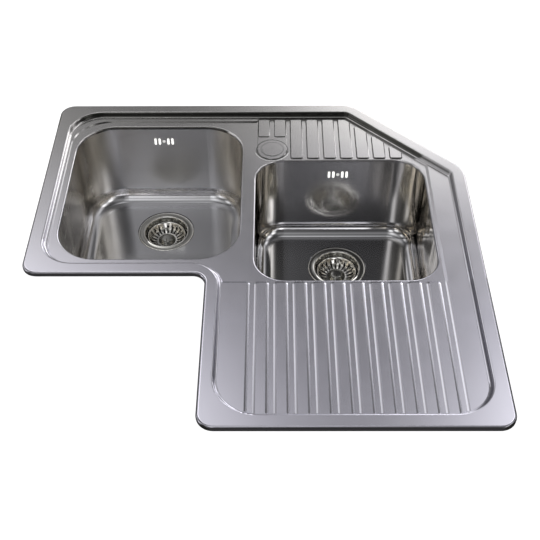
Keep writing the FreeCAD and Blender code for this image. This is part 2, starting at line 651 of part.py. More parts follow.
def clamp_screw():
    """The screw that pulls the steel cup down onto the plastic body."""
    head_top = CUP_FLOOR + SCREW_HEAD_HEIGHT
    head = cylinder(SCREW_HEAD_R, CUP_FLOOR, head_top)
    slot = Part.makeBox(2 * SCREW_HEAD_R, SCREW_SLOT_WIDTH, SCREW_SLOT_DEPTH,
                        Vector(-SCREW_HEAD_R, -SCREW_SLOT_WIDTH / 2, head_top - SCREW_SLOT_DEPTH))
    return head.cut(slot).fuse(cylinder(SCREW_R, BRIDGE_LOW - SCREW_R, CUP_FLOOR))


# ---- basket strainer --------------------------------------------------------------------------------
def basket_z(depth):
    return FLANGE_TOP - depth


def basket():
    """The perforated basket: rolled rim, dished wall with radial slots, and a flat ring for the knob."""
    rim = basket_z(BASKET_RIM_DEPTH)
    wall = basket_z(BASKET_WALL_DEPTH)
    floor = basket_z(BASKET_FLOOR_DEPTH)
    roll = BASKET_RIM_ROLL
    sheet = BASKET_SHEET
    bend_r = (BASKET_WALL_R + BASKET_FLOOR_R) / 2 + 2 * sheet
    bend = wall + (floor - wall) * BASKET_BEND_SHARE
    shell = ring_profile([
        (BASKET_HUB_R, floor - sheet), (BASKET_FLOOR_R, floor - sheet), (bend_r + sheet, bend - sheet),
        (BASKET_WALL_R + sheet, wall), (BASKET_RIM_R - roll, rim - 2 * roll), (BASKET_RIM_R, rim - roll),
        (BASKET_RIM_R - roll / 2, rim), (BASKET_RIM_R - 2 * roll, rim - roll), (BASKET_WALL_R, wall),
        (bend_r, bend), (BASKET_FLOOR_R, floor), (BASKET_HUB_R, floor),
    ])
    slots = []
    length = BASKET_SLOT_OUTER_R - BASKET_SLOT_INNER_R
    for i in range(BASKET_SLOT_COUNT):
        corner = Vector(BASKET_SLOT_INNER_R, -BASKET_SLOT_WIDTH / 2, floor - BASKET_FLOOR_DEPTH / 2)
        slot = Part.makeBox(length, BASKET_SLOT_WIDTH, BASKET_FLOOR_DEPTH, corner)
        slot.rotate(Vector(0, 0, 0), Vector(0, 0, 1), 360 * i / BASKET_SLOT_COUNT)
        slots.append(slot)
    return shell.cut(slots)


def basket_knob():
    """The domed finger knob that covers the basket's hub."""
    foot = basket_z(BASKET_FLOOR_DEPTH)
    top = foot + KNOB_HEIGHT
    sheet = BASKET_SHEET
    waist = (KNOB_R + KNOB_TOP_R) / 2 + sheet
    return ring_profile([
        (KNOB_R, foot), (KNOB_R, foot + sheet), (waist, top - 2 * sheet), (KNOB_TOP_R, top - sheet / 2),
        (0, top), (0, top - sheet), (KNOB_TOP_R, top - sheet / 2 - sheet), (waist - sheet, top - 3 * sheet),
        (KNOB_R - sheet, foot),
    ])


def basket_stem():
    """Turned stem under the basket, with the disc that carries the rubber plug."""
    floor = basket_z(BASKET_FLOOR_DEPTH)
    head = floor + STEM_FOOT_HEIGHT
    plug_top = basket_z(PLUG_SEAL_TOP)
    plug_low = plug_top - PLUG_SEAL_HEIGHT
    return ring_profile([
        (0, plug_low), (STEM_FOOT_R, plug_low), (STEM_FOOT_R, plug_low + PLUG_DISC_HEIGHT),
        (STEM_R, plug_low + PLUG_DISC_HEIGHT), (STEM_R, floor), (STEM_FOOT_R, floor), (STEM_FOOT_R, head),
        (0, head),
    ])


def basket_plug():
    """Rubber plug on the stem: its edge follows the cup's cone."""
    high = PLUG_SEAL_TOP
    low = PLUG_SEAL_TOP + PLUG_SEAL_HEIGHT
    plug_low = basket_z(low) + PLUG_DISC_HEIGHT
    return ring_profile([
        (STEM_R + FIT_GAP, plug_low), (cone_radius(low) - PLUG_CLEARANCE, plug_low),
        (cone_radius(high) - PLUG_CLEARANCE, basket_z(high)),
        (STEM_R + FIT_GAP, basket_z(high)),
    ])


# ---- overflow, modelled on the back wall's outer face at zero, facing +Y ---------------------------
def housing_outline(grow):
    half_w = HOUSING_WIDTH / 2 + grow
    half_h = HOUSING_HEIGHT / 2 + grow
    return rectangle(-half_w, -half_h, half_w, half_h), [HOUSING_CORNER_R + grow] * 4


def upright(solid, y):
    """Turns a solid drawn flat, growing along Z, so that it grows along Y from y."""
    solid.rotate(Vector(0, 0, 0), Vector(1, 0, 0), -90)
    solid.translate(Vector(0, y, 0))
    return solid


def overflow_gasket():
    outer = prism(*housing_outline(0.0), 0.0, OVERFLOW_GASKET_THICKNESS)
    inner = prism(*housing_outline(-2 * HOUSING_WALL), -OVERLAP, OVERFLOW_GASKET_THICKNESS + OVERLAP)
    return upright(outer.cut(inner), 0.0)


def overflow_housing():
    """Plastic box behind the slots, with a boss for the screw and a hose spigot below."""
    outer = prism(*housing_outline(0.0), 0.0, HOUSING_DEPTH)
    inner = prism(*housing_outline(-HOUSING_WALL), -OVERLAP, HOUSING_DEPTH - HOUSING_WALL)
    box = upright(outer.cut(inner), OVERFLOW_GASKET_THICKNESS)
    middle = OVERFLOW_GASKET_THICKNESS + HOUSING_DEPTH / 2
    end = -HOUSING_HEIGHT / 2 - HOUSING_SPIGOT_LENGTH
    spigot = Part.makeCylinder(SPIGOT_R, HOUSING_SPIGOT_LENGTH + HOUSING_WALL / 2, Vector(0, middle, end))
    bore = Part.makeCylinder(SPIGOT_BORE_R, HOUSING_SPIGOT_LENGTH + 3 * HOUSING_WALL,
                             Vector(0, middle, end - HOUSING_WALL))
    face = OVERFLOW_GASKET_THICKNESS
    boss = Part.makeCylinder(HOUSING_BOSS_R, HOUSING_DEPTH - HOUSING_WALL / 2, Vector(0, face, 0),
                             Vector(0, 1, 0))
    screw_hole = Part.makeCylinder(OVERFLOW_SCREW_R + SCREW_CLEARANCE, OVERFLOW_SCREW_REACH,
                                   Vector(0, 0, 0), Vector(0, 1, 0))
    return box.fuse([spigot, boss]).cut([bore, screw_hole])


def overflow_screw():
    """Dome-headed screw seen inside the bowl, between the slots."""
    inside = -SHEET
    head = Part.makeSphere(OVERFLOW_HEAD_R * 2)
    rise = OVERFLOW_HEAD_R * 2 - OVERFLOW_HEAD_HEIGHT
    flat = Part.makeCylinder(OVERFLOW_HEAD_R, OVERFLOW_HEAD_HEIGHT, Vector(0, rise, 0), Vector(0, 1, 0))
    head = head.common(flat)
    head.rotate(Vector(0, 0, 0), Vector(0, 0, 1), 180)
    head.translate(Vector(0, inside + rise, 0))
    shank = Part.makeCylinder(OVERFLOW_SCREW_R, OVERFLOW_SCREW_REACH + inside, Vector(0, inside, 0),
                              Vector(0, 1, 0))
    return head.fuse(shank)


# ---- fixings under the top ----------------------------------------------------------------------------
def rim_seal():
    """Foam seal between the border and the worktop."""
    outer = inset(OUTLINE, OUTLINE_RADII, SEAL_INSET)
    inner = inset(OUTLINE, OUTLINE_RADII, SEAL_INSET + SEAL_WIDTH)
    top = RIM_HEIGHT - SHEET
    return prism(*outer, 0.0, top).cut(prism(*inner, -OVERLAP, top + OVERLAP))


def sides():
    """Each straight side of the L: its start, its direction, the way inwards and its length."""
    result = []
    for i, (x, y) in enumerate(OUTLINE):
        bx, by = OUTLINE[(i + 1) % len(OUTLINE)]
        along = Vector(bx - x, by - y, 0)
        length = along.Length
        along.normalize()
        result.append((Vector(x, y, 0), along, Vector(-along.y, along.x, 0), length))
    return result


def placed(solid, start, along, at, inwards, in_by):
    """Sets a solid, drawn with the side along X and inwards along Y, at a place on a side."""
    turned = solid.copy()
    turned.rotate(Vector(0, 0, 0), Vector(0, 0, 1), math.degrees(math.atan2(along.y, along.x)))
    turned.translate(start + along * at + inwards * in_by)
    return turned


def clip_places():
    """Every clip: its side's start and directions, and how far along it stands."""
    result = []
    for start, along, inwards, length in sides():
        usable = length - 2 * RAIL_END_MARGIN
        count = max(1, int(usable // CLIP_SPACING) + 1)
        for k in range(count):
            result.append((start, along, inwards, RAIL_END_MARGIN + usable * (2 * k + 1) / (2 * count)))
    return result


RAIL_INSET = SEAL_INSET + SEAL_WIDTH + RAIL_GAP
RAIL_TOP = RIM_HEIGHT - SHEET


def clip_rails():
    """Channels welded under the border, open below, one along each side."""
    rails = []
    for start, along, inwards, length in sides():
        run = length - 2 * RAIL_END_MARGIN
        rail = Part.makeBox(run, RAIL_WIDTH, RAIL_HEIGHT, Vector(0, 0, RAIL_TOP - RAIL_HEIGHT))
        slot = Part.makeBox(run + 2 * OVERLAP, RAIL_WIDTH - 2 * RAIL_WALL, RAIL_HEIGHT,
                            Vector(-OVERLAP, RAIL_WALL, RAIL_TOP - RAIL_HEIGHT - RAIL_WALL))
        rails.append(placed(rail.cut(slot), start, along, RAIL_END_MARGIN, inwards, RAIL_INSET))
    return Part.makeCompound(rails)


def fixing_clips():
    """Folded straps that hook into the rails and reach out under the worktop."""
    leg_in = RAIL_WALL
    top = RAIL_TOP - RAIL_HEIGHT + CLIP_HOOK_HEIGHT
    low = -CLIP_FOOT_LEVEL
    leg = Part.makeBox(CLIP_WIDTH, CLIP_SHEET, top - low, Vector(-CLIP_WIDTH / 2, leg_in, low))
    foot = Part.makeBox(CLIP_WIDTH, CLIP_FOOT_REACH, CLIP_SHEET,
                        Vector(-CLIP_WIDTH / 2, leg_in - CLIP_FOOT_REACH, low))
    hole = cylinder(CLIP_SCREW_R + SCREW_CLEARANCE, low - OVERLAP, low + CLIP_SHEET + OVERLAP)
    hole.translate(Vector(0, leg_in - CLIP_FOOT_REACH / 2, 0))
    clip = leg.fuse(foot).removeSplitter().cut(hole)
    clips = [placed(clip, s, a, at, n, RAIL_INSET) for s, a, n, at in clip_places()]
    return Part.makeCompound(clips)


def clip_screws():
    """Screws through the clips' feet, each with a pad that presses up on the worktop's underside."""
    shank_low = -CLIP_FOOT_LEVEL - CLIP_SCREW_TAIL
    shank_top = -WORKTOP - CLIP_SCREW_PAD_HEIGHT
    screw = cylinder(CLIP_SCREW_R, shank_low, shank_top)
    screw = screw.fuse(cylinder(CLIP_SCREW_HEAD_R, shank_low - CLIP_SCREW_HEAD_HEIGHT, shank_low))
    screw = screw.fuse(cylinder(CLIP_SCREW_PAD_R, shank_top, -WORKTOP))
    screw.translate(Vector(0, RAIL_WALL - CLIP_FOOT_REACH / 2, 0))
    screws = [placed(screw, s, a, at, n, RAIL_INSET) for s, a, n, at in clip_places()]
    return Part.makeCompound(screws)


# ---- assembly --------------------------------------------------------------------------------------------
WASTE_PIECES = {
    "flange_seal": flange_seal, "strainer_cup": strainer_cup, "body_gasket": body_gasket,
    "waste_body": waste_body, "clamp_screw": clamp_screw, "clamp_nut": clamp_nut,
    "basket": basket, "basket_knob": basket_knob, "basket_stem": basket_stem, "basket_plug": basket_plug,
}
OVERFLOW_PIECES = {
    "overflow_gasket": overflow_gasket, "overflow_housing": overflow_housing,
    "overflow_screw": overflow_screw,
}


def build():
    nodes = {
        "deck": deck(), "rim_seal": rim_seal(), "clip_rails": clip_rails(),
        "fixing_clips": fixing_clips(), "clip_screws": clip_screws(),
    }
    for side, bowl in (("left", LEFT_BOWL), ("right", RIGHT_BOWL)):
        nodes[side + "_bowl"] = bowl_shell(bowl)
        nodes[side + "_sound_pad"] = sound_pad(bowl)
        for name, make in WASTE_PIECES.items():
            piece = make()
            piece.translate(waste_axis(bowl))
            nodes[side + "_" + name] = piece
        for name, make in OVERFLOW_PIECES.items():
            piece = make()
            piece.translate(overflow_axis(bowl))
            nodes[side + "_" + name] = piece
    return nodes


os.makedirs("parts", exist_ok=True)
for node, shape in build().items():
    shape.exportStep("parts/" + node + ".step")
    print(node, "solids", len(shape.Solids), "valid", shape.isValid(), "volume", round(shape.Volume, 1))
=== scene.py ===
"""Dresses the corner kitchen sink.

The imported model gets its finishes, its turned and moulded fittings, the floor and the light.
"""
import math

import bmesh
import bpy
from bpy.props import FloatProperty, FloatVectorProperty, PointerProperty
from mathutils import Matrix, Vector


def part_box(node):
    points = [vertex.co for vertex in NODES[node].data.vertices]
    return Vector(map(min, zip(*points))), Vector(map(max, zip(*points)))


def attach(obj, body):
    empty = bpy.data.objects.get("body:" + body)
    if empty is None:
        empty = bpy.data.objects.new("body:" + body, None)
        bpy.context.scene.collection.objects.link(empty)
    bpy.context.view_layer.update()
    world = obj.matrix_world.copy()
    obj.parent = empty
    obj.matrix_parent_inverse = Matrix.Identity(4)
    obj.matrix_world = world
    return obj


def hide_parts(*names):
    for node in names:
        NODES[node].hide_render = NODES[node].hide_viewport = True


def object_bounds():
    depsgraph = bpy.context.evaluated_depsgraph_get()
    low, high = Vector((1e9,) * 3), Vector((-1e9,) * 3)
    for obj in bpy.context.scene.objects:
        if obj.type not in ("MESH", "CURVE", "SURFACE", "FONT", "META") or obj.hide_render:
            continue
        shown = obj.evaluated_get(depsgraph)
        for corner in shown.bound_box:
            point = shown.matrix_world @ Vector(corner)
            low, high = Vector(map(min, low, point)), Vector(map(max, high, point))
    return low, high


bl_info = {
    "name": "Corner kitchen sink",
    "version": (1, 0, 0),
    "blender": (4, 5, 0),
    "location": "3D View > Sidebar > Sink",
    "description":
        "Dresses a packed corner kitchen sink with its finishes, fittings, floor and light",
    "category": "Object",
}

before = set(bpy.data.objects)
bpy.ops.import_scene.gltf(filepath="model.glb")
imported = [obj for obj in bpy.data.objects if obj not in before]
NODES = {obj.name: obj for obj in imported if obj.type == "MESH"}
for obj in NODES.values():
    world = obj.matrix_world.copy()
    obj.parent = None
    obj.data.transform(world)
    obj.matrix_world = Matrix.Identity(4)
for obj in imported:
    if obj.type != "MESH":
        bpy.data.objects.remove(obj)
CAD_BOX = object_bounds()
SIDES = ("left", "right")
ORIGIN = (0.0, 0.0, 0.0)
PER_METRE = 1000.0  # profiles are drawn in millimetres


# ---- places read from the frame ------------------------------------------------------------------
def node_box(name):
    """A node's lowest and highest corners as vectors."""
    low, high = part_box(name)
    return Vector(low), Vector(high)


def waste_centre(side):
    """The waste's axis where it meets the top of the strainer cup's flange."""
    low, high = node_box(side + "_strainer_cup")
    return Vector(((low.x + high.x) / 2, (low.y + high.y) / 2, high.z))


# ---- settings ------------------------------------------------------------------------------------
class SinkFinishes(bpy.types.PropertyGroup):
    """Colours and surface values of the sink's finishes."""
    steel: FloatVectorProperty(
        name="Steel", description="Colour of the satin steel of the top", subtype="COLOR", size=3,
        min=0.0, max=1.0, default=(0.62, 0.615, 0.625))
    steel_roughness: FloatProperty(
        name="Top roughness", description="Roughness of the satin top", subtype="FACTOR",
        min=0.02, max=1.0, default=0.2)
    left_bowl_roughness: FloatProperty(
        name="Left bowl roughness", description="Roughness of the softly polished bowl's walls",
        subtype="FACTOR", min=0.02, max=0.7, default=0.26)
    right_bowl_roughness: FloatProperty(
        name="Right bowl roughness",
        description="Roughness of the brightly polished bowl's side walls",
        subtype="FACTOR", min=0.02, max=0.3, default=0.07)
    bright_steel: FloatVectorProperty(
        name="Bright steel", description="Colour of the polished strainers", subtype="COLOR",
        size=3, min=0.0, max=1.0, default=(0.70, 0.69, 0.66))
    brass: FloatVectorProperty(
        name="Brass", description="Colour of the clamp nuts", subtype="COLOR", size=3,
        min=0.0, max=1.0, default=(0.70, 0.52, 0.24))
    rubber: FloatVectorProperty(
        name="Rubber", description="Colour of the black seals", subtype="COLOR", size=3,
        min=0.0, max=1.0, default=(0.022, 0.022, 0.023))
    foam: FloatVectorProperty(
        name="Foam", description="Colour of the foam seal under the border", subtype="COLOR",
        size=3, min=0.0, max=1.0, default=(0.30, 0.30, 0.31))
    black_plastic: FloatVectorProperty(
        name="Black plastic", description="Colour of the waste bodies", subtype="COLOR", size=3,
        min=0.0, max=1.0, default=(0.030, 0.030, 0.032))
    white_plastic: FloatVectorProperty(
        name="White plastic", description="Colour of the overflow housings", subtype="COLOR",
        size=3, min=0.0, max=1.0, default=(0.88, 0.88, 0.86))


class SinkStage(bpy.types.PropertyGroup):
    """The floor, the camera and the studio light."""
    camera_place: FloatVectorProperty(
        name="Camera place", description="Where the camera stands", subtype="TRANSLATION", size=3,
        unit="LENGTH", default=(0.124, -1.166, 1.2175))
    camera_turn: FloatProperty(
        name="Camera turn", description="Turn of the view to the left of the back edge",
        subtype="ANGLE", unit="ROTATION", default=math.radians(0.41))
    camera_drop: FloatProperty(
        name="Camera drop", description="How far the camera looks down", subtype="ANGLE",
        unit="ROTATION", default=math.radians(45.86))
    camera_roll: FloatProperty(
        name="Camera roll", description="Roll about the view", subtype="ANGLE", unit="ROTATION",
        default=math.radians(-0.37))
    lens: FloatProperty(
        name="Lens", description="Focal length on a 36 mm sensor", min=10.0, max=300.0,
        unit="CAMERA", default=63.14)
    floor_size: FloatProperty(
        name="Floor size", description="Width of the pale worktop the sink is set in", min=2.0,
        unit="LENGTH", default=9.0)
    cut_out_margin: FloatProperty(
        name="Cut-out margin", description="From the sink's outline to the edge of the cut-out",
        min=0.008, max=0.02, unit="LENGTH", default=0.013)


# ---- shader maths --------------------------------------------------------------------------------
class Value:
    """A shader socket that Python's operators work on."""

    def __init__(self, shader, socket):
        self.shader = shader
        self.socket = socket

    def __add__(self, other):
        return self.shader.maths("ADD", self, other)

    def __radd__(self, other):
        return self.shader.maths("ADD", other, self)

    def __sub__(self, other):
        return self.shader.maths("SUBTRACT", self, other)

    def __rsub__(self, other):
        return self.shader.maths("SUBTRACT", other, self)

    def __mul__(self, other):
        return self.shader.maths("MULTIPLY", self, other)

    def __rmul__(self, other):
        return self.shader.maths("MULTIPLY", other, self)


class Shader:
    """The node tree of one finish, or of the world."""

    def __init__(self, tree):
        self.tree = tree
        tree.nodes.clear()

    def node(self, kind, settings=None, sockets=None, output=0):
        """Adds a node: its settings first, then the values or links of its sockets."""
        made = self.tree.nodes.new(kind)
        for name, setting in (settings or {}).items():
            setattr(made, name, setting)
        for name, value in (sockets or {}).items():
            if isinstance(value, Value):
                self.tree.links.new(value.socket, made.inputs[name])
            else:
                made.inputs[name].default_value = value
        return Value(self, made.outputs[output]) if made.outputs else None

    def maths(self, operation, first, second=0.0):
        return self.node("ShaderNodeMath", {"operation": operation}, {0: first, 1: second})

    def vector_maths(self, operation, first, second, output=0):
        return self.node("ShaderNodeVectorMath", {"operation": operation},
                         {0: first, 1: second}, output)

    def place(self, scale=(1.0, 1.0, 1.0)):
        """Object coordinates, scaled for a pattern."""
        point = self.node("ShaderNodeTexCoord", output="Object")
        return self.node("ShaderNodeMapping", {"vector_type": "POINT"},
                         {"Vector": point, "Scale": scale})

    def axes(self, vector):
        """A vector's x, y and z."""
        first = self.node("ShaderNodeSeparateXYZ", None, {0: vector})
        return [Value(self, socket) for socket in first.socket.node.outputs]

    def from_axis(self, centre):
        """The distance from an upright axis."""
        flat = self.place((1.0, 1.0, 0.0))
        return self.vector_maths("DISTANCE", flat, (centre[0], centre[1], 0.0), "Value")

    def noise(self, place, scale, detail=3.0, roughness=0.55, distortion=0.0):
        return self.node("ShaderNodeTexNoise", None, {
            "Vector": place, "Scale": scale, "Detail": detail, "Roughness": roughness,
            "Distortion": distortion})

    def cells(self, scale, smoothness=None):
        """Round cells, with soft walls where a smoothness is given."""
        sockets = {"Vector": self.place(), "Scale": scale}
        if smoothness is not None:
            sockets["Smoothness"] = smoothness
        feature = "F1" if smoothness is None else "SMOOTH_F1"
        return self.node("ShaderNodeTexVoronoi", {"feature": feature}, sockets)

    def spread(self, value, low, high, to_low=0.0, to_high=1.0):
        """Maps a value from one range to another, held at its ends."""
        return self.node("ShaderNodeMapRange", {"clamp": True}, {
            "Value": value, "From Min": low, "From Max": high, "To Min": to_low,
            "To Max": to_high})

    def step(self, value, ends, about=0.0):
        """A soft step from 0 to 1 between two ends, measured about a place."""
        return self.spread(value, about + ends[0], about + ends[1])

    def band(self, value, rise, fall, about=0.0):
        """A soft step from 0 to 1 and a later one back to 0."""
        return self.step(value, rise, about) * self.step(value, fall[::-1], about)

    def tinted(self, first, second):
        """The product of two colours."""
        return self.node("ShaderNodeMix", {"data_type": "RGBA", "blend_type": "MULTIPLY"}, {
            0: 1.0, 6: first, 7: second}, output=2)

    def mix(self, share, first, second):
        """Mixes two colours."""
        return self.node("ShaderNodeMix", {"data_type": "RGBA"}, {
            0: share, 6: first, 7: second}, output=2)

    def bump(self, height, strength, distance, below=None):
        sockets = {"Height": height, "Strength": strength, "Distance": distance}
        if below is not None:
            sockets["Normal"] = below
        return self.node("ShaderNodeBump", None, sockets)

    def surface(self, **sockets):
        """The finished surface: a principled shader with the named sockets."""
        names = {name.replace("_", " ").title().replace("Ior", "IOR"): value
                 for name, value in sockets.items()}
        shader = self.node("ShaderNodeBsdfPrincipled", None, names)
        self.node("ShaderNodeOutputMaterial", None, {"Surface": shader})


def shade(colour, factor=1.0):
    """A colour made lighter or darker."""
    return (colour[0] * factor, colour[1] * factor, colour[2] * factor, 1.0)


def grey(tone):
    return (tone, tone, tone, 1.0)


# ---- finishes ------------------------------------------------------------------------------------
WHITE = grey(1.0)
# Painted reflection tints for the top: warmer at its back, cooler at its front.
WARM_REFLECTION_TINT = (1.0, 0.985, 0.96, 1.0)
COOL_REFLECTION_TINT = (1.0, 0.99, 1.10, 1.0)
# Painted shade for the dark lines along the top's steps.
LINE_SHADE = (0.07, 0.07, 0.065, 1.0)
# Painted shade inside the strainers' cups, on their flanges and on the knobs.
STRAINER_SHADE = (0.055, 0.055, 0.045, 1.0)

# Soft steps that place the top's painted shade lines and painted glints, each from its first number
# to its second: how far behind the right bowl's back edge, beside its left edge or before its front
# edge, and at which height.
RIBS_BEHIND = (-0.001, 0.004)
RIBS_BESIDE = (-0.012, -0.006)
COVE_BEHIND = (0.092, 0.096)
GROOVES_BEFORE = (-0.002, -0.008)
GROOVE_SIDE = (-0.0033, -0.0013)
LIP_HEIGHT = (-0.001, 0.001)

# Soft steps in a bowl: up from its floor, and from its back wall.
WALL_ABOVE_FLOOR = (0.004, 0.045)
BACK_WALL = (-0.05, -0.012)
# Where the bowl's painted highlight along its foot rises and falls, up from its floor.
FOOT_HIGHLIGHT_RISE = (0.006, 0.022)
FOOT_HIGHLIGHT_FALL = (0.045, 0.085)

# Painted shade lines and a painted glint round the tap position's pressed ring and disc:
# distances from its centre where each comes and goes.
TAP_CENTRE = (0.119, CAD_BOX[1][1] - 0.140)
TAP_RING = ((0.0308, 0.0312), (0.0326, 0.0334))
TAP_DISC = ((0.0218, 0.0222), (0.0234, 0.0240))
TAP_PAINTED_GLINT = ((0.0330, 0.0336), (0.0356, 0.0364))
BEFORE_TAP = (-0.006, -0.014)

# The strainers' painted shade: distances from their axes to the cup's flange, its wall and the
# knob, and how deep under the flange the wall and the knob are painted darker.
CUP_FLANGE = ((0.0488, 0.0496), (0.0568, 0.0572))
CUP_WALL = (0.0411, 0.0414)
CUP_WALL_DEPTH = (-0.0016, -0.0026)
KNOB_EDGE = (0.0188, 0.0184)
KNOB_DEPTH = (-0.0195, -0.0205)


def steel_surface(shader, colour, roughness, grain_scale, grain_strength, streaks, painted_cool_share=None,
                  dark=None, waves=None):
    """Steel with a soft clouding, a fine grain stretched by streaks, and dull smears.

    The bluer share is painted cool reflection, the dark share painted shade; waves are draw marks.
    """
    point = shader.place()
    cloud = shader.noise(point, 7.0, 3.0)
    grain = shader.noise(shader.place(streaks), grain_scale, 4.0, 0.6)
    smear = shader.noise(point, 24.0, 2.0, 0.5, 0.6)
    tone = shader.spread(cloud * 0.8 + grain * 0.2, 0.3, 0.7)
    base = shader.tinted(colour, shader.mix(tone, grey(0.975), grey(1.02)))
    # Painted cool reflection: the top is tinted bluer towards its front.
    if painted_cool_share is not None:
        base = shader.tinted(base, shader.mix(painted_cool_share, WARM_REFLECTION_TINT, COOL_REFLECTION_TINT))
    # Painted shade: the dark lines along the steps.
    if dark is not None:
        base = shader.mix(dark, base, LINE_SHADE)
    dull = shader.spread(grain * 0.3 + smear * 0.7, 0.3, 0.7, 0.94, 1.07) * roughness
    normal = shader.bump(grain, grain_strength, 0.0002)
    if waves is not None:
        normal = shader.bump(waves, 0.3, 0.002, normal)
    shader.surface(base_color=base, metallic=1.0, roughness=dull, normal=normal)


def satin_steel(shader, finishes):
    """The satin top, faintly bluer towards its front as a painted cool reflection.

    Painted shade lines mark the steps of the ribs, the tap position, the cove, the front lip and
    the grooves, and painted glints lie beside the tap position's ring and low on the grooves'
    sides.
    """
    x, y, z = shader.axes(shader.place())
    rightward, backward, upward = shader.axes(shader.node("ShaderNodeTexCoord", output="Normal"))
    bowl_low, bowl_high = node_box("right_bowl")
    front_left = shader.spread(rightward + backward, 0.1, -0.1)
    steep = shader.spread(upward, 0.93, 0.80)
    at_ribs = shader.step(y, RIBS_BEHIND, bowl_high.y) * shader.step(x, RIBS_BESIDE, bowl_low.x)
    at_cove = shader.step(y, COVE_BEHIND, bowl_high.y)
    lip = shader.spread(backward, -0.35, -0.7) * shader.step(z, LIP_HEIGHT)
    from_tap = shader.from_axis(TAP_CENTRE)
    at_grooves = shader.step(y, GROOVES_BEFORE, bowl_low.y)
    climb = shader.step(z, GROOVE_SIDE)
    shaded = at_grooves * shader.spread(rightward, 0.15, 0.35)
    lit = at_grooves * shader.spread(rightward, -0.15, -0.35)
    # Painted shade: dark lines along the steps of the ribs, the tap position, the cove, the lip and
    # the grooves.
    painted_step_shade = (at_ribs * steep * (front_left * 0.65 + 0.2)
             + shader.band(from_tap, *TAP_RING) * 0.6
             + shader.band(from_tap, *TAP_DISC) * 0.35
             + at_cove * front_left * shader.spread(upward, 0.985, 0.93) * 0.85
             + lip * 0.75
             + shaded * shader.spread(climb, 0.35, 0.65) * 0.5
             + lit * shader.spread(climb, 0.45, 0.7) * 0.3)
    # Painted highlights: a glint before the tap position's ring, and glints low on the grooves'
    # sides.
    before_tap = shader.step(y, BEFORE_TAP, TAP_CENTRE[1])
    painted_glint = (shader.band(from_tap, *TAP_PAINTED_GLINT) * before_tap
             + (lit + shaded * 0.5) * shader.spread(climb, 0.65, 0.4) * 0.8)
    steel_surface(
        shader, shader.mix(painted_glint, shade(finishes.steel), WHITE), finishes.steel_roughness,
        700.0, 0.0002, (0.5, 2.0, 2.0), painted_cool_share=shader.spread(y, 0.45, -0.1),
        dark=shader.spread(painted_step_shade, 0.0, 1.0))


def drawn_bowl(shader, finishes, node, dullness, foot_highlight_tone, wave_and_painted_streak_scale):
    """A drawn bowl, with painted shade on its floor, painted light on its walls and a painted
    highlight along its foot; painted warm reflections, painted reflection streaks and real draw
    marks, a waviness, up its corners.

    dullness holds the roughness of the floor, the side walls and the back wall.
    """
    low, high = node_box(node)
    width = high.x - low.x
    on_floor, on_sides, on_back = dullness
    x, y, z = shader.axes(shader.place())
    up_wall = shader.step(z, WALL_ABOVE_FLOOR, low.z)
    at_back = shader.step(y, BACK_WALL, high.y)
    walls = shader.spread(at_back, 0.0, 1.0, on_sides, on_back)
    roughness = up_wall * (walls - on_floor) + on_floor
    aside = shader.maths("ABSOLUTE", x - (low.x + high.x) / 2.0)
    warm_reflection = shader.spread(aside, width * 0.3, width * 0.46) * up_wall
    corner = shader.spread(aside, width * 0.3, width * 0.42) * up_wall
    foot_highlight = shader.band(z, FOOT_HIGHLIGHT_RISE, FOOT_HIGHLIGHT_FALL, low.z)
    # Painted shade and light: the floor is painted darker and the walls lighter.
    tone = shader.mix(up_wall, shade(finishes.steel, 0.64), shade(finishes.steel, 1.18))
    # Painted highlight along the foot.
    tone = shader.mix(foot_highlight, tone, shade(finishes.steel, foot_highlight_tone))
    # Painted reflection colours: a bluish floor and warm corners.
    tint = shader.mix(up_wall, (0.99, 1.0, 1.02, 1.0), WHITE)
    tint = shader.mix(warm_reflection, tint, (1.05, 1.0, 0.88, 1.0))
    # Draw marks: a real waviness in the bump, and painted reflection streaks in the colour up the
    # corners.
    waves_and_painted_streaks = shader.noise(shader.place((1.0, 1.0, 0.12)), wave_and_painted_streak_scale, 2.0, 0.5)
    painted_streaks = shader.mix(shader.spread(waves_and_painted_streaks, 0.42, 0.58), grey(0.78), grey(1.16))
    colour = shader.tinted(shader.tinted(tone, tint), shader.mix(corner, WHITE, painted_streaks))
    steel_surface(shader, colour, roughness, 260.0, 0.0002, (2.0, 2.0, 0.3),
                  waves=waves_and_painted_streaks * corner)


def bowl_steel(shader, finishes):
    rough = finishes.left_bowl_roughness
    drawn_bowl(shader, finishes, "left_bowl", (rough * 0.5, rough, rough * 1.3), 1.35, 22.0)


def bright_bowl_steel(shader, finishes):
    rough = finishes.right_bowl_roughness
    drawn_bowl(shader, finishes, "right_bowl", (rough * 1.2, rough, rough * 2.0), 1.0, 50.0)


def polished_steel(shader, finishes):
    """The strainers' bright steel: shadowed inside the cups, on their flanges and on the knobs."""
    point = shader.place()
    depth = shader.axes(point)[2] - waste_centre("left").z
    reach = shader.maths(
        "MINIMUM", *[shader.from_axis(waste_centre(side)) for side in SIDES])
    flange = shader.band(reach, *CUP_FLANGE)
    wall = shader.step(reach, CUP_WALL) * shader.step(depth, CUP_WALL_DEPTH)
    knob = shader.step(reach, KNOB_EDGE) * shader.spread(depth, *KNOB_DEPTH, 0.75, 1.0)
    shadow = flange * 0.6 + wall * 0.7 + knob * 0.8
    grain = shader.noise(point, 900.0, 3.0)
    colour = finishes.bright_steel
    bright = shader.mix(shader.spread(grain, 0.3, 0.7), shade(colour, 0.97), shade(colour, 1.03))
    base = shader.mix(shadow, bright, STRAINER_SHADE)
    shader.surface(base_color=base, metallic=1.0,
                   roughness=shader.spread(grain, 0.3, 0.7, 0.055, 0.075),
                   normal=shader.bump(grain, 0.01, 0.0001))


def plain_steel(shader, finishes):
    steel_surface(shader, shade(finishes.steel, 0.86), 0.42, 1500.0, 0.25, (1.0, 1.0, 1.0))


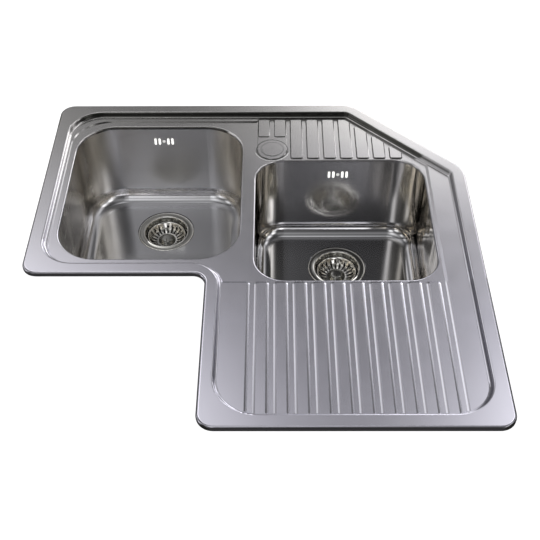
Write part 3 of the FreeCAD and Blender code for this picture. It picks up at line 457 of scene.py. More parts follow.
def zinc_steel(shader, finishes):
    """Zinc plating: bluish, faintly spangled and slightly dull."""
    point = shader.place()
    spangle = shader.cells(320.0)
    fine = shader.noise(point, 1400.0, 3.0)
    tint = shader.spread(shader.noise(point, 60.0, 2.0), 0.35, 0.65)
    base = shader.mix(tint, (0.60, 0.63, 0.68, 1.0), (0.70, 0.69, 0.62, 1.0))
    dull = shader.spread(spangle * 0.5 + fine * 0.5, 0.2, 0.7, 0.3, 0.48)
    shader.surface(base_color=base, metallic=1.0, roughness=dull,
                   normal=shader.bump(fine, 0.2, 0.0001))


def brass_nut(shader, finishes):
    """Turned brass: fine rings across its axis and darker stains."""
    turning = shader.noise(shader.place((1.0, 1.0, 14.0)), 260.0, 3.0)
    stain = shader.spread(shader.noise(shader.place(), 90.0, 3.0), 0.4, 0.7)
    base = shader.mix(stain, shade(finishes.brass), shade(finishes.brass, 0.72))
    dull = shader.spread(turning, 0.3, 0.7, 0.22, 0.36)
    shader.surface(base_color=base, metallic=1.0, roughness=dull,
                   normal=shader.bump(turning, 0.12, 0.0001))


def rubber_surface(shader, colour):
    """Matt rubber with bloom and a fine tooth."""
    point = shader.place()
    tooth = shader.noise(point, 1600.0, 2.0)
    bloom = shader.spread(shader.noise(point, 70.0, 4.0), 0.45, 0.75)
    base = shader.mix(bloom, shade(colour), shade([channel + 0.02 for channel in colour], 1.25))
    dull = shader.spread(tooth, 0.3, 0.7, 0.55, 0.75)
    shader.surface(base_color=base, roughness=dull, specular_ior_level=0.4,
                   normal=shader.bump(tooth, 0.25, 0.0002))


def black_rubber(shader, finishes):
    rubber_surface(shader, finishes.rubber)


def white_rubber(shader, finishes):
    rubber_surface(shader, [channel * 0.9 for channel in finishes.white_plastic])


def grey_foam(shader, finishes):
    """Closed-cell foam: small round cells with painted shade in their hollows."""
    cells = shader.cells(900.0, 0.4)
    patches = shader.noise(shader.place(), 120.0, 3.0)
    tone = shader.spread(cells * 0.7 + patches * 0.3, 0.2, 0.6)
    base = shader.mix(tone, shade(finishes.foam, 0.7), shade(finishes.foam, 1.15))
    shader.surface(base_color=base, roughness=shader.spread(tone, 0.0, 1.0, 0.8, 0.95),
                   specular_ior_level=0.3, normal=shader.bump(cells, 0.6, 0.0004))


def damping_pad(shader, finishes):
    """Bituminous damping sheet: dull, dark and slightly pebbled."""
    pebble = shader.cells(240.0, 0.8)
    dust = shader.spread(shader.noise(shader.place(), 40.0, 5.0), 0.45, 0.75)
    base = shader.mix(dust, (0.045, 0.045, 0.047, 1.0), (0.11, 0.108, 0.105, 1.0))
    dull = shader.spread(pebble, 0.0, 0.8, 0.65, 0.9)
    shader.surface(base_color=base, roughness=dull, normal=shader.bump(pebble, 0.5, 0.0006))


def moulded_plastic(shader, colour, roughness, glow):
    """Moulded plastic with a fine spark-eroded grain and faint flow marks."""
    grain = shader.noise(shader.place(), 1300.0, 2.0)
    flow = shader.noise(shader.place((1.0, 1.0, 0.25)), 45.0, 3.0, 0.5, 0.8)
    base = shader.mix(shader.spread(flow, 0.35, 0.65), shade(colour, 0.93), shade(colour))
    dull = shader.spread(grain * 0.6 + flow * 0.4, 0.3, 0.7, roughness * 0.85, roughness * 1.15)
    # The glow is painted light; only the white plastic has any.
    shader.surface(base_color=base, roughness=dull, normal=shader.bump(grain, 0.12, 0.0002),
                   emission_color=base, emission_strength=glow)


def black_plastic(shader, finishes):
    moulded_plastic(shader, finishes.black_plastic, 0.42, 0.0)


def white_plastic(shader, finishes):
    """The housings' plastic, with a painted glow that stands in for the daylight the worktop hides.
    """
    moulded_plastic(shader, finishes.white_plastic, 0.32, 0.55)


FINISHES = {made.__name__: made for made in (
    satin_steel, bowl_steel, bright_bowl_steel, polished_steel, plain_steel, zinc_steel,
    brass_nut, black_rubber, white_rubber, grey_foam, damping_pad, black_plastic,
    white_plastic)}


def finish(slot):
    """The material of a slot, made the first time it is asked for."""
    name = "sink_" + slot
    made = bpy.data.materials.get(name)
    if made is None:
        made = bpy.data.materials.new(name)
        made.use_nodes = True
        FINISHES[slot](Shader(made.node_tree), bpy.context.scene.sink_finishes)
    return made


# ---- modelling with Blender's own tools ----------------------------------------------------------
def deselect():
    bpy.ops.object.select_all(action="DESELECT")


def pick(piece):
    """Selects one piece and nothing else, and makes it the active one."""
    deselect()
    piece.select_set(True)
    bpy.context.view_layer.objects.active = piece


def choose(kind, test):
    """In edit mode, selects the faces, edges or vertices that pass a test and nothing else."""
    mesh = bpy.context.object.data
    bpy.ops.mesh.select_mode(type=kind)
    bpy.ops.mesh.select_all(action="DESELECT")
    shape = bmesh.from_edit_mesh(mesh)
    found = {"VERT": shape.verts, "EDGE": shape.edges, "FACE": shape.faces}[kind]
    for part in found:
        if test(part):
            part.select_set(True)
    shape.select_flush_mode()
    bmesh.update_edit_mesh(mesh)


def cut_through(at, facing):
    """In edit mode, cuts every face along a plane."""
    bpy.ops.mesh.select_all(action="SELECT")
    bpy.ops.mesh.bisect(plane_co=at, plane_no=facing)


def start(name, add, **settings):
    """Adds a primitive with nothing else selected and goes into edit mode with all of it chosen."""
    deselect()
    add(**settings)
    piece = bpy.context.object
    piece.name = name
    piece.data.name = name
    bpy.ops.object.mode_set(mode="EDIT")
    bpy.ops.mesh.select_mode(type="VERT")
    bpy.ops.mesh.select_all(action="SELECT")
    return piece


def block(name, centre, size, unit=0.001):
    """Starts a block; its size is in millimetres unless another unit is given."""
    piece = start(name, bpy.ops.mesh.primitive_cube_add, size=unit, location=centre)
    bpy.ops.transform.resize(value=size)
    return piece


def turned_wall(name, centre, profile, segments, fill_type="NOTHING"):
    """Starts a wall about an upright axis: a circle extruded along (radius, height) points."""
    (radius, height), *rest = [(r / PER_METRE, h / PER_METRE) for r, h in profile]
    piece = start(name, bpy.ops.mesh.primitive_circle_add, vertices=segments, radius=radius,
                  location=(centre[0], centre[1], centre[2] + height), fill_type=fill_type)
    for wider, higher in rest:
        growth = wider / radius
        bpy.ops.mesh.extrude_region_move(
            TRANSFORM_OT_translate={"value": (0.0, 0.0, higher - height)})
        bpy.ops.transform.resize(value=(growth, growth, 1.0),
                                 center_override=(centre[0], centre[1], centre[2] + higher))
        radius, height = wider, higher
    return piece


def turned(name, centre, profile, segments=96, joined=False):
    """A turned piece; joined closes its profile into a ring."""
    if joined:
        piece = turned_wall(name, centre, profile + profile[:1], segments)
    else:
        piece = turned_wall(name, centre, profile, segments, "NGON")
        bpy.ops.mesh.edge_face_add()
    close_up()
    return piece


def thread(first, pitch, turns, shape):
    """A thread's outline: (radius, share of the pitch) points, repeated for each turn."""
    return [(radius, first + i * pitch + share * pitch)
            for i in range(turns) for radius, share in shape]


def close_up():
    """In edit mode, merges doubles and turns the faces outwards, then goes to object mode."""
    bpy.ops.mesh.select_all(action="SELECT")
    bpy.ops.mesh.remove_doubles(threshold=0.000002)
    bpy.ops.mesh.normals_make_consistent(inside=False)
    bpy.ops.object.mode_set(mode="OBJECT")


def settle(piece):
    """Puts the piece's place, turn and size into its mesh."""
    pick(piece)
    bpy.ops.object.transform_apply(location=True, rotation=True, scale=True)


def stand(piece, degrees, at):
    """Turns a piece drawn at the origin about x and z, and moves it to its place."""
    settle(piece)
    about_x, about_z = degrees
    piece.rotation_euler = (math.radians(about_x), 0.0, math.radians(about_z))
    piece.location = at
    settle(piece)


def modify(piece, kind, **settings):
    """Adds a modifier and applies it."""
    pick(piece)
    made = piece.modifiers.new("shape", kind)
    for name, value in settings.items():
        setattr(made, name, value)
    bpy.ops.object.modifier_apply(modifier=made.name)


def soften(piece, width=0.0, segments=2, angle=28.0):
    """Rounds the sharp edges, if a width is given, and shades the rest smooth."""
    if width:
        modify(piece, "BEVEL", width=width, segments=segments, limit_method="ANGLE",
               angle_limit=math.radians(angle), use_clamp_overlap=True)
    pick(piece)
    bpy.ops.object.shade_smooth_by_angle(angle=math.radians(35.0))


def cut_from(piece, cutter):
    """Cuts one piece out of another and removes the cutter."""
    modify(piece, "BOOLEAN", operation="DIFFERENCE", object=cutter, solver="EXACT")
    bpy.data.objects.remove(cutter, do_unlink=True)


def join(pieces):
    """Makes several pieces one."""
    pick(pieces[0])
    for piece in pieces:
        piece.select_set(True)
    bpy.ops.object.join()
    return pieces[0]


def duplicate(source):
    """A copy with its own mesh."""
    pick(source)
    bpy.ops.object.duplicate(linked=False)
    return bpy.context.object


def copy_to(piece, name, shift):
    """A named copy, moved."""
    copied = duplicate(piece)
    copied.name = name
    copied.data.name = name
    copied.location = Vector(copied.location) + Vector(shift)
    settle(copied)
    return copied


def carry(piece, body, slot, *nodes):
    """Gives a piece its finish, its body, and the nodes it stands for."""
    settle(piece)
    piece.data.materials.clear()
    piece.data.materials.append(finish(slot))
    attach(piece, body)
    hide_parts(*nodes)


def merge_copy():
    """In edit mode, merges the loose triangles of a CAD node's copy."""
    bpy.ops.object.mode_set(mode="EDIT")
    bpy.ops.mesh.select_all(action="SELECT")
    bpy.ops.mesh.remove_doubles(threshold=0.00001)


def round_off(node, slot, width, segments=2):
    """Stands a copy of a node with its edges rounded in for it."""
    piece = duplicate(NODES[node])
    piece.name = node + "_rounded"
    piece.parent = None
    merge_copy()
    bpy.ops.mesh.customdata_custom_splitnormals_clear()
    bpy.ops.mesh.dissolve_limited(angle_limit=math.radians(1.0))
    bpy.ops.mesh.normals_make_consistent(inside=False)
    bpy.ops.object.mode_set(mode="OBJECT")
    soften(piece, width, segments)
    carry(piece, "sink", slot, node)


# ---- the stage -----------------------------------------------------------------------------------
# Soft lights: turn from the back edge, height and width in degrees, and power.
SOFT_LIGHTS = (
    (12, 27, 6, 5.0), (-28, 41, 6, 0.75), (-36, 48, 6, 1.7), (36, 48, 6, 2.25), (-20, 56, 6, 1.9),
    (36, 56, 6, 1.35), (5, 60, 5, 0.2), (0, 85, 7, 1.2), (-104, 41, 5, 1.6), (94, 43, 6, 2.6),
    (-70, 20, 6, 1.6), (70, 20, 6, 2.0), (-43, 29, 5, 0.8), (136, 25, 6, 1.9), (-140, 27, 6, 1.8),
    (124, 41, 5, 3.2), (-164, 42, 5, 2.0), (-98, 15, 7, 3.4), (36, 13, 6, 5.0),
    (-150, 64, 8, 1.4), (150, 62, 8, 0.3), (-112, 61, 8, 0.5), (-30, 16, 14, 0.12),
    (30, 16, 14, 0.12), (20, -50, 22, 1.1), (140, -35, 18, 1.3), (-110, -40, 18, 1.2),
)
SKY_GLOW = 0.09
BACKDROP = grey(0.96)
PAPER_TO_STEEL = grey(0.10)
CUT_CORNER_LEG = 0.211  # along either edge at the sink's cut-off back corner
FLOOR_LEVEL = -0.0002


def direction(turn, height):
    turn, height = math.radians(turn), math.radians(height)
    return Vector((math.sin(turn) * math.cos(height), math.cos(turn) * math.cos(height),
                   math.sin(height)))


def studio_light(world):
    """A plain sky with soft lights, seen as white by the camera."""
    shader = Shader(world.node_tree)
    towards = shader.node("ShaderNodeTexCoord", output="Generated")
    glow = SKY_GLOW
    for turn, height, width, power in SOFT_LIGHTS:
        sharpness = 0.5 / (1.0 - math.cos(math.radians(width)))
        facing = shader.vector_maths("DOT_PRODUCT", towards, direction(turn, height), "Value")
        glow = shader.maths("EXPONENT", (facing - 1.0) * sharpness) * power + glow
    light = shader.node("ShaderNodeBackground", None, {"Color": WHITE, "Strength": glow})
    backdrop = shader.node("ShaderNodeBackground", None, {"Color": BACKDROP})
    seen = shader.node("ShaderNodeLightPath", output="Is Camera Ray")
    both = shader.node("ShaderNodeMixShader", None, {0: seen, 1: light, 2: backdrop})
    shader.node("ShaderNodeOutputWorld", None, {"Surface": both})


def pale_floor(shader):
    """A matt, nearly white sheet with the faintest unevenness, darker to the steel."""
    cloud = shader.noise(shader.place(), 1.5, 2.0)
    base = shader.mix(shader.spread(cloud, 0.3, 0.7), grey(0.80), grey(0.83))
    seen = shader.node("ShaderNodeLightPath", output="Is Camera Ray")
    paper = shader.mix(seen, PAPER_TO_STEEL, base)
    shader.surface(base_color=paper, roughness=0.9, specular_ior_level=0.1, emission_color=paper,
                   emission_strength=0.95)


def add_floor(stage):
    """The pale sheet the sink is set in, with an L-shaped cut-out under the border."""
    low, high = node_box("deck")
    margin = stage.cut_out_margin
    inner = margin  # the L's inner corner is at the origin
    left, front = low.x + margin, low.y + margin
    right, back = high.x - margin, high.y - margin
    corner = high.x + high.y - CUT_CORNER_LEG - margin * math.sqrt(2)
    deselect()
    bpy.ops.mesh.primitive_plane_add(size=stage.floor_size, location=(0.0, 0.0, FLOOR_LEVEL))
    floor = bpy.context.object
    floor.name = "floor"
    bpy.ops.object.mode_set(mode="EDIT")
    for x in (left, inner, right):
        cut_through((x, 0.0, 0.0), (1.0, 0.0, 0.0))
    for y in (front, inner, back):
        cut_through((0.0, y, 0.0), (0.0, 1.0, 0.0))
    cut_through((corner / 2, corner / 2, 0.0), (1.0, 1.0, 0.0))

    def inside(face):
        x, y, _ = face.calc_center_median()
        in_box = left < x < right and front < y < back
        return in_box and (x > inner or y > inner) and x + y < corner

    choose("FACE", inside)
    bpy.ops.mesh.delete(type="FACE")
    bpy.ops.object.mode_set(mode="OBJECT")
    bpy.ops.object.transform_apply(location=True, rotation=True, scale=True)
    sheet = bpy.data.materials.new("pale_floor")
    sheet.use_nodes = True
    pale_floor(Shader(sheet.node_tree))
    floor.data.materials.append(sheet)


def add_camera(stage):
    """The camera at the photograph's place, turned about its own axes."""
    turn, drop, roll = stage.camera_turn, stage.camera_drop, stage.camera_roll
    behind = Vector((math.sin(turn) * math.cos(drop), -math.cos(turn) * math.cos(drop),
                     math.sin(drop)))
    right = Vector((math.cos(turn), math.sin(turn), 0.0))
    up = behind.cross(right)
    across = right * math.cos(roll) + up * math.sin(roll)
    upright = up * math.cos(roll) - right * math.sin(roll)
    deselect()
    bpy.ops.object.camera_add()
    camera = bpy.context.object
    camera.name = "view"
    camera.data.lens = stage.lens
    camera.data.sensor_width = 36.0
    camera.data.clip_end = 50.0
    aim = Matrix((across, upright, behind)).transposed().to_4x4()
    camera.matrix_world = Matrix.Translation(stage.camera_place) @ aim
    bpy.context.scene.camera = camera


class SINK_OT_stage(bpy.types.Operator):
    """Set the floor, the camera and the studio light"""
    bl_idname = "sink.stage"
    bl_label = "Floor, camera and light"

    def execute(self, context):
        stage = context.scene.sink_stage
        add_floor(stage)
        add_camera(stage)
        world = bpy.data.worlds.new("studio")
        world.use_nodes = True
        context.scene.world = world
        studio_light(world)
        context.scene.view_settings.view_transform = "Standard"
        return {"FINISHED"}


# ---- strainers: cup, basket, knob, stem and plug -------------------------------------------------
CUP_PROFILE = [
    (2.6, -41.0), (28.2, -41.0), (29.2, -40.6), (29.9, -39.6), (39.4, -13.2), (40.2, -12.3),
    (41.6, -12.0), (42.4, -11.3), (42.8, -10.2), (45.2, -2.1), (45.7, -0.9), (46.4, -0.25),
    (47.2, -0.02), (48.2, -0.12), (49.0, -0.42), (56.0, -0.42), (57.2, -0.3), (58.2, -0.02),
    (59.0, -0.1), (59.6, -0.45), (59.95, -1.1), (60.0, -2.2), (59.1, -2.2), (59.0, -1.2),
    (46.6, -1.15), (43.7, -10.8), (43.2, -12.4), (42.0, -12.95), (40.6, -13.3), (30.9, -40.0),
    (29.9, -41.6), (28.4, -42.0), (2.6, -42.0),
]
BASKET_PROFILE = [
    (5.4, -26.4), (20.6, -26.4), (21.6, -26.2), (29.8, -22.4), (31.2, -21.4), (32.2, -20.2),
    (35.0, -16.6), (36.6, -14.4), (37.2, -13.3), (38.4, -11.6), (39.4, -10.4), (40.2, -9.9),
    (40.75, -10.1), (40.9, -10.7), (40.5, -11.3),
]
KNOB_PROFILE = [
    (17.7, -26.0), (18.4, -25.9), (18.5, -25.3), (18.1, -24.8), (16.9, -24.1), (15.2, -22.5),
    (13.6, -20.9), (11.8, -19.9), (9.6, -19.35), (6.0, -19.05), (2.0, -19.0), (0.4, -19.0),
]
STEM_PROFILE = [
    (8.4, -35.5), (9.0, -35.2), (9.0, -34.4), (5.6, -34.2), (5.0, -33.8), (5.0, -27.2),
    (5.6, -26.5), (8.6, -26.1), (9.0, -25.7), (9.0, -24.9), (8.4, -24.4), (0.4, -24.4),
]
PLUG_PROFILE = [
    (5.05, -34.2), (29.0, -34.3), (30.6, -34.0), (31.1, -33.6), (31.0, -33.2), (30.2, -33.0),
    (30.4, -32.6), (31.9, -32.2), (32.1, -31.9), (31.6, -31.6), (30.4, -31.5), (5.05, -31.5),
]
CUP_HOLE_COUNT = 8
BASKET_SLOT_COUNT = 20
BASKET_SLOT_REACH = (0.0212, 0.0370)
BASKET_SLOT_HALF = 0.26  # of the pitch
BASKET_SHEET = 0.0008


def strainer_cup(side, top):
    """The steel cup with its beaded flange, rolled mouth, shoulder and pierced floor."""
    cup = turned(side + "_cup", top, CUP_PROFILE, 128, joined=True)
    hole = start("hole", bpy.ops.mesh.primitive_cylinder_add, vertices=24, radius=0.0046,
                 depth=0.006, location=(top.x + 0.0185, top.y, top.z - 0.0415))
    copies = CUP_HOLE_COUNT - 1
    bpy.ops.mesh.spin(steps=copies, dupli=True, angle=2.0 * math.pi * copies / CUP_HOLE_COUNT,
                      center=top, axis=(0.0, 0.0, 1.0), use_auto_merge=False)
    close_up()
    cut_from(cup, hole)
    soften(cup)
    carry(cup, "sink", "polished_steel", side + "_strainer_cup")


def basket(side, top):
    """The strainer basket: radial slots between pressed bars, and a rolled rim."""
    piece = turned_wall(side + "_slotted_basket", top, BASKET_PROFILE, 8 * BASKET_SLOT_COUNT)
    pitch = 2.0 * math.pi / BASKET_SLOT_COUNT
    nearest, furthest = BASKET_SLOT_REACH

    def in_slot(face):
        middle = piece.matrix_world @ face.calc_center_median() - top
        reach = math.hypot(middle.x, middle.y)
        turn = (math.atan2(middle.y, middle.x) + pitch / 2.0) % pitch - pitch / 2.0
        return nearest < reach < furthest and abs(turn) < pitch * BASKET_SLOT_HALF

    choose("FACE", in_slot)
    bpy.ops.mesh.delete(type="FACE")
    bpy.ops.mesh.select_all(action="SELECT")
    bpy.ops.mesh.normals_make_consistent(inside=False)
    bpy.ops.object.mode_set(mode="OBJECT")
    modify(piece, "SOLIDIFY", thickness=BASKET_SHEET, offset=0.0, use_even_offset=True)
    soften(piece, 0.00022, 2, 40.0)
    carry(piece, side + "_strainer", "polished_steel", side + "_basket")


def basket_knob(side, top):
    """The domed finger knob, with a thumb notch pressed into its front."""
    knob = turned(side + "_finger_knob", top, KNOB_PROFILE)
    notch = block("notch", (top.x, top.y - 0.0098, top.z - 0.0192), (1.5, 15.0, 4.2))
    bpy.ops.mesh.bevel(offset=0.0005, segments=3, affect="EDGES")
    close_up()
    cut_from(knob, notch)
    soften(knob, 0.0002, 2, 40.0)
    carry(knob, side + "_strainer", "polished_steel", side + "_basket_knob")


def stem_and_plug(side, top):
    """The moulded stem under the basket and the rubber plug with its two lips."""
    stem = turned(side + "_stem", top, STEM_PROFILE, 64)
    soften(stem)
    carry(stem, side + "_strainer", "black_plastic", side + "_basket_stem")
    plug = turned(side + "_plug", top, PLUG_PROFILE, joined=True)
    soften(plug)
    carry(plug, side + "_strainer", "black_rubber", side + "_basket_plug")


# ---- wastes: the plastic body, its seals and its clamp -------------------------------------------
# Outlines in millimetres. A body's heights are from its flange, and its tail is worked out.
BODY_OUTSIDE = [
    (47.7, 0.0), (57.2, 0.0), (58.0, -0.6), (58.0, -3.4), (57.3, -4.0), (51.4, -4.0), (50.5, -4.8),
    (36.2, -43.2), (35.2, -45.0), (33.0, -46.0), (25.6, -48.0), (23.4, -48.6), (22.6, -49.4),
]
BODY_INSIDE = [(20.0, -46.0), (31.6, -45.0), (32.6, -43.6), (47.6, -4.4)]
TAIL_THREAD = [(22.7, 0.0), (23.88, 0.45), (23.88, 0.65)]
TAIL_THREAD_TOP = -50.4
TAIL_THREAD_END = 2.6  # above the tail's end
TAIL_PITCH = 2.3
BODY_BOSS = [
    (3.2, -54.6), (5.9, -54.6), (8.0, -54.6), (8.5, -54.1), (8.5, -46.3), (8.1, -45.8),
    (3.2, -45.8),
]
INLET_NECK = [
    (7.5, -17.0), (9.6, -17.0), (9.6, -3.6), (11.4, -3.4), (12.0, -3.0), (12.0, -0.6), (11.5, 0.0),
    (7.5, 0.0),
]
SPIGOT_BARBS = [
    (10.4, 0.0), (9.6, 0.5), (9.6, 4.0), (10.1, 4.3), (9.4, 8.5), (10.1, 8.8), (9.4, 13.0),
    (10.1, 13.3), (9.2, 17.2), (8.6, 18.0), (7.9, 18.0), (7.5, 17.5),
]
SPIGOT_LENGTH = 0.018
INLET_DEPTH = 0.0277
BODY_RIB_COUNT = 8
BODY_RIB_REACH = 0.0485
BODY_RIB_TAPER = 0.0115


def barbed_spigot(name, root):
    """A hose spigot with four barbs, its root of a length in millimetres below the collar."""
    return turned(name, ORIGIN, [(7.5, -root), (10.4, -root)] + SPIGOT_BARBS, 40, joined=True)


def body_rib(degrees, centre):
    """One of the tapered ribs under the flange of a waste body."""
    rib = block("rib", ORIGIN, (14.0, 2.0, 24.0))
    choose("VERT", lambda vertex: vertex.co.x > 0.0 and vertex.co.z < 0.0)
    bpy.ops.transform.translate(value=(-BODY_RIB_TAPER, 0.0, 0.0))
    bpy.ops.object.mode_set(mode="OBJECT")
    soften(rib, 0.0004)
    turn = math.radians(degrees)
    stand(rib, (0.0, degrees), (
        centre.x + BODY_RIB_REACH * math.cos(turn), centre.y + BODY_RIB_REACH * math.sin(turn),
        centre.z - 0.0158))
    return rib


def waste_body(side, top):
    """The moulded body: flange, ribbed funnel, threaded tail and barbed overflow inlet."""
    low, high = node_box(side + "_waste_body")
    centre = Vector((top.x, top.y, high.z))
    end = (low.z - high.z) * PER_METRE
    last = end + TAIL_THREAD_END
    turns = int((TAIL_THREAD_TOP - last) / TAIL_PITCH)
    tail = thread(TAIL_THREAD_TOP, -TAIL_PITCH, turns, TAIL_THREAD) + [
        (22.7, last), (22.6, end + 0.5), (22.1, end), (20.4, end), (20.0, end + 0.5)]
    body = turned(side + "_body", centre, BODY_OUTSIDE + tail + BODY_INSIDE, joined=True)
    inlet = barbed_spigot("inlet", 4.0)
    neck_end = (top.x, high.y - SPIGOT_LENGTH, top.z - INLET_DEPTH)
    stand(inlet, (-90.0, 0.0), neck_end)
    neck = turned("neck", ORIGIN, INLET_NECK, 40, joined=True)
    stand(neck, (-90.0, 0.0), neck_end)
    spacing = 360.0 / BODY_RIB_COUNT
    ribs = [body_rib(spacing * (i + 0.5), centre) for i in range(BODY_RIB_COUNT)]
    bridge = block("bridge", (centre.x, centre.y, centre.z - 0.0503), (42.0, 6.0, 9.0))
    bpy.ops.object.mode_set(mode="OBJECT")
    soften(bridge, 0.0008)
    boss = turned("boss", centre, BODY_BOSS, 40, joined=True)
    body = join([body, inlet, neck, bridge, boss] + ribs)
    soften(body)
    carry(body, "sink", "black_plastic", side + "_waste_body")


def clamp(side):
    """The slotted screw, its hexagon nut, and the seals it squeezes."""
    round_off(side + "_clamp_screw", "plain_steel", 0.0004)
    round_off(side + "_clamp_nut", "brass_nut", 0.0005)
    round_off(side + "_flange_seal", "black_rubber", 0.0003)
    round_off(side + "_body_gasket", "black_rubber", 0.0007)


# ---- overflows -----------------------------------------------------------------------------------
HOUSING_BOSS = [(2.2, 0.2), (3.6, 0.2), (4.0, 0.6), (4.0, 19.0), (2.2, 19.0)]
HOUSING_WALL = 0.0032


def overflow_housing(side):
    """The moulded box behind the slots, open towards the bowl, with a barbed spigot below."""
    low, high = node_box(side + "_overflow_housing")
    gasket_low, gasket_high = node_box(side + "_overflow_gasket")
    middle = (low + high) / 2
    wide, deep, tall = high.x - low.x, high.y - low.y, gasket_high.z - gasket_low.z
    centre_z = (gasket_low.z + gasket_high.z) / 2
    box = block(side + "_overflow_box", (middle.x, middle.y, centre_z), (wide, deep, tall), 1.0)
    choose("EDGE", lambda edge: abs(edge.verts[0].co.y - edge.verts[1].co.y) > deep / 2)
    bpy.ops.mesh.bevel(offset=0.008, segments=6, affect="EDGES")
    choose("FACE", lambda face: face.normal.y > 0.9)
    bpy.ops.mesh.inset(thickness=0.004)
    bpy.ops.mesh.inset(thickness=0.0012)
    bpy.ops.transform.translate(value=(0.0, -0.0008, 0.0))
    choose("FACE", lambda face: face.normal.y < -0.9)
    bpy.ops.mesh.inset(thickness=0.0022)
    bpy.ops.mesh.extrude_region_move(
        TRANSFORM_OT_translate={"value": (0.0, deep - HOUSING_WALL, 0.0)})
    bpy.ops.object.mode_set(mode="OBJECT")
    soften(box, 0.0006)
    spigot = barbed_spigot("spigot", 8.0)
    stand(spigot, (180.0, 0.0), (middle.x, middle.y, low.z + SPIGOT_LENGTH))
    boss = turned("boss", ORIGIN, HOUSING_BOSS, 32, joined=True)
    stand(boss, (-90.0, 0.0), (middle.x, low.y, centre_z))
    box = join([box, spigot, boss])
    soften(box)
    carry(box, "sink", "white_plastic", side + "_overflow_housing")


def overflow_trim(side):
    """The gasket and the dome-headed screw between the slots."""
    round_off(side + "_overflow_gasket", "white_rubber", 0.0004)
    low, high = node_box(side + "_overflow_screw")
    middle = (low + high) / 2
    edge = (high.x - low.x) / 2 * PER_METRE
    end = (high.y - low.y) * PER_METRE
    screw = turned(side + "_dome_screw", ORIGIN, [
        (0.3, 0.0), (1.3, 0.12), (2.3, 0.45), (3.0, 0.95), (edge, 1.6), (edge, 1.8), (2.0, 1.8),
        (2.0, end - 0.6), (1.4, end), (0.3, end)], 48)
    stand(screw, (-90.0, 0.0), (middle.x, low.y, middle.z))
    soften(screw)
    carry(screw, "sink", "white_plastic", side + "_overflow_screw")


# ---- fixings under the border --------------------------------------------------------------------
SCREW_PAD = [(0.4, 0.0), (3.9, 0.0), (4.5, 0.5), (4.5, 2.6), (4.0, 3.0), (2.1, 3.0)]
SCREW_THREAD = [(2.1, 0.0), (2.5, 0.45)]
SCREW_THREAD_START = 3.4
SCREW_PITCH = 1.0
SCREW_PLAIN_LENGTH = 6.5  # of pad and head together


def solid_boxes(node):
    """The lowest and highest corners of the separate solids in a node."""
    duplicate(NODES[node])
    merge_copy()
    bpy.ops.mesh.separate(type="LOOSE")
    bpy.ops.object.mode_set(mode="OBJECT")
    boxes = []
    for part in list(bpy.context.selected_objects):
        corners = [part.matrix_world @ vertex.co for vertex in part.data.vertices]
        boxes.append([Vector([pick_end(corner[i] for corner in corners) for i in range(3)])
                      for pick_end in (min, max)])
        bpy.data.objects.remove(part, do_unlink=True)
    return sorted(boxes, key=lambda box: tuple(box[0]))


def clip_screws():
    """One threaded screw with a pad and a round head, copied to every clip."""
    (low, high), *others = solid_boxes("clip_screws")
    tall = (high.z - low.z) * PER_METRE
    turns = int((tall - SCREW_PLAIN_LENGTH) / SCREW_PITCH)
    profile = SCREW_PAD + thread(SCREW_THREAD_START, SCREW_PITCH, turns, SCREW_THREAD) + [
        (2.1, tall - 2.4), (3.4, tall - 2.0), (4.0, tall - 1.5), (4.0, tall - 0.3), (3.6, tall),
        (0.4, tall)]
    centre = ((low.x + high.x) / 2, (low.y + high.y) / 2, low.z)
    first = turned("clip_screw_1", centre, profile, 24)
    soften(first)
    screws = [first]
    for number, (other_low, other_high) in enumerate(others, 2):
        shift = (other_low + other_high) / 2 - (low + high) / 2
        screws.append(copy_to(first, "clip_screw_" + str(number), shift))
    for screw in screws:
        carry(screw, "sink", "zinc_steel", "clip_screws")


# ---- the operators -------------------------------------------------------------------------------
class SINK_OT_finishes(bpy.types.Operator):
    """Give every node of the frame its finish"""
    bl_idname = "sink.finishes"
    bl_label = "Finishes"

    def execute(self, context):
        for node in NODES.values():
            for slot in node.material_slots:
                slot.material = finish(slot.material.name.split(".")[0])
        return {"FINISHED"}


class SINK_OT_strainers(bpy.types.Operator):
    """Model the strainer cups, baskets, knobs, stems and plugs"""
    bl_idname = "sink.strainers"
    bl_label = "Strainers"

    def execute(self, context):
        for side in SIDES:
            top = waste_centre(side)
            strainer_cup(side, top)
            basket(side, top)
            basket_knob(side, top)
            stem_and_plug(side, top)
        return {"FINISHED"}


class SINK_OT_wastes(bpy.types.Operator):
    """Model the waste bodies under the bowls with their clamps and seals"""
    bl_idname = "sink.wastes"
    bl_label = "Waste bodies"

    def execute(self, context):
        for side in SIDES:
            waste_body(side, waste_centre(side))
            clamp(side)
        return {"FINISHED"}


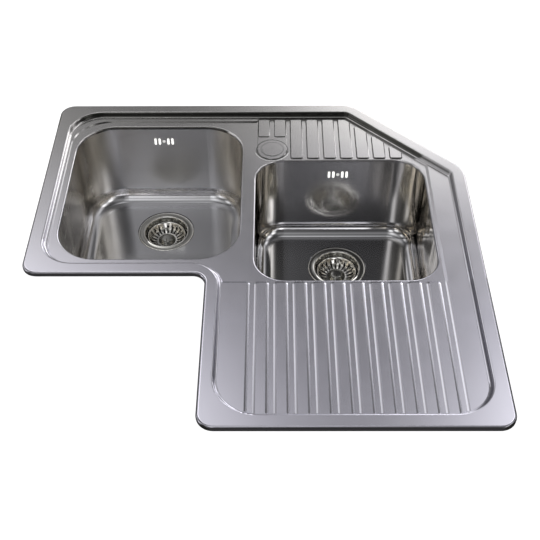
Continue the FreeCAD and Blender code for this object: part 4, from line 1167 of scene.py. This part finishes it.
class SINK_OT_overflows(bpy.types.Operator):
    """Model the overflow housings, gaskets and screws"""
    bl_idname = "sink.overflows"
    bl_label = "Overflows"

    def execute(self, context):
        for side in SIDES:
            overflow_housing(side)
            overflow_trim(side)
        return {"FINISHED"}


class SINK_OT_fixings(bpy.types.Operator):
    """Model the clips, their screws and rails, the rim seal and the sound pads"""
    bl_idname = "sink.fixings"
    bl_label = "Fixings, seal and pads"

    def execute(self, context):
        clip_screws()
        round_off("fixing_clips", "zinc_steel", 0.0004)
        round_off("clip_rails", "plain_steel", 0.0003)
        round_off("rim_seal", "grey_foam", 0.0016, 3)
        for side in SIDES:
            round_off(side + "_sound_pad", "damping_pad", 0.0008, 3)
        return {"FINISHED"}


# ---- the panel and the add-on --------------------------------------------------------------------
class SINK_PT_panel(bpy.types.Panel):
    """The sink's settings and pieces"""
    bl_idname = "SINK_PT_panel"
    bl_label = "Corner kitchen sink"
    bl_space_type = "VIEW_3D"
    bl_region_type = "UI"
    bl_category = "Sink"

    def draw(self, context):
        column = self.layout.column()
        for group in (context.scene.sink_finishes, context.scene.sink_stage):
            for name in group.__annotations__:
                column.prop(group, name)
            column.separator()
        for operator in OPERATORS:
            column.operator(operator.bl_idname)


OPERATORS = (SINK_OT_stage, SINK_OT_finishes, SINK_OT_strainers, SINK_OT_wastes,
             SINK_OT_overflows, SINK_OT_fixings)
GROUPS = {"sink_finishes": SinkFinishes, "sink_stage": SinkStage}


def register():
    for made in (*GROUPS.values(), *OPERATORS, SINK_PT_panel):
        bpy.utils.register_class(made)
    for name, group in GROUPS.items():
        setattr(bpy.types.Scene, name, PointerProperty(type=group))


def unregister():
    for name in GROUPS:
        delattr(bpy.types.Scene, name)
    for made in reversed((*GROUPS.values(), *OPERATORS, SINK_PT_panel)):
        bpy.utils.unregister_class(made)


def main():
    register()
    bpy.ops.sink.stage()
    bpy.ops.sink.finishes()
    bpy.ops.sink.strainers()
    bpy.ops.sink.wastes()
    bpy.ops.sink.overflows()
    bpy.ops.sink.fixings()


if __name__ == "__main__":
    main()
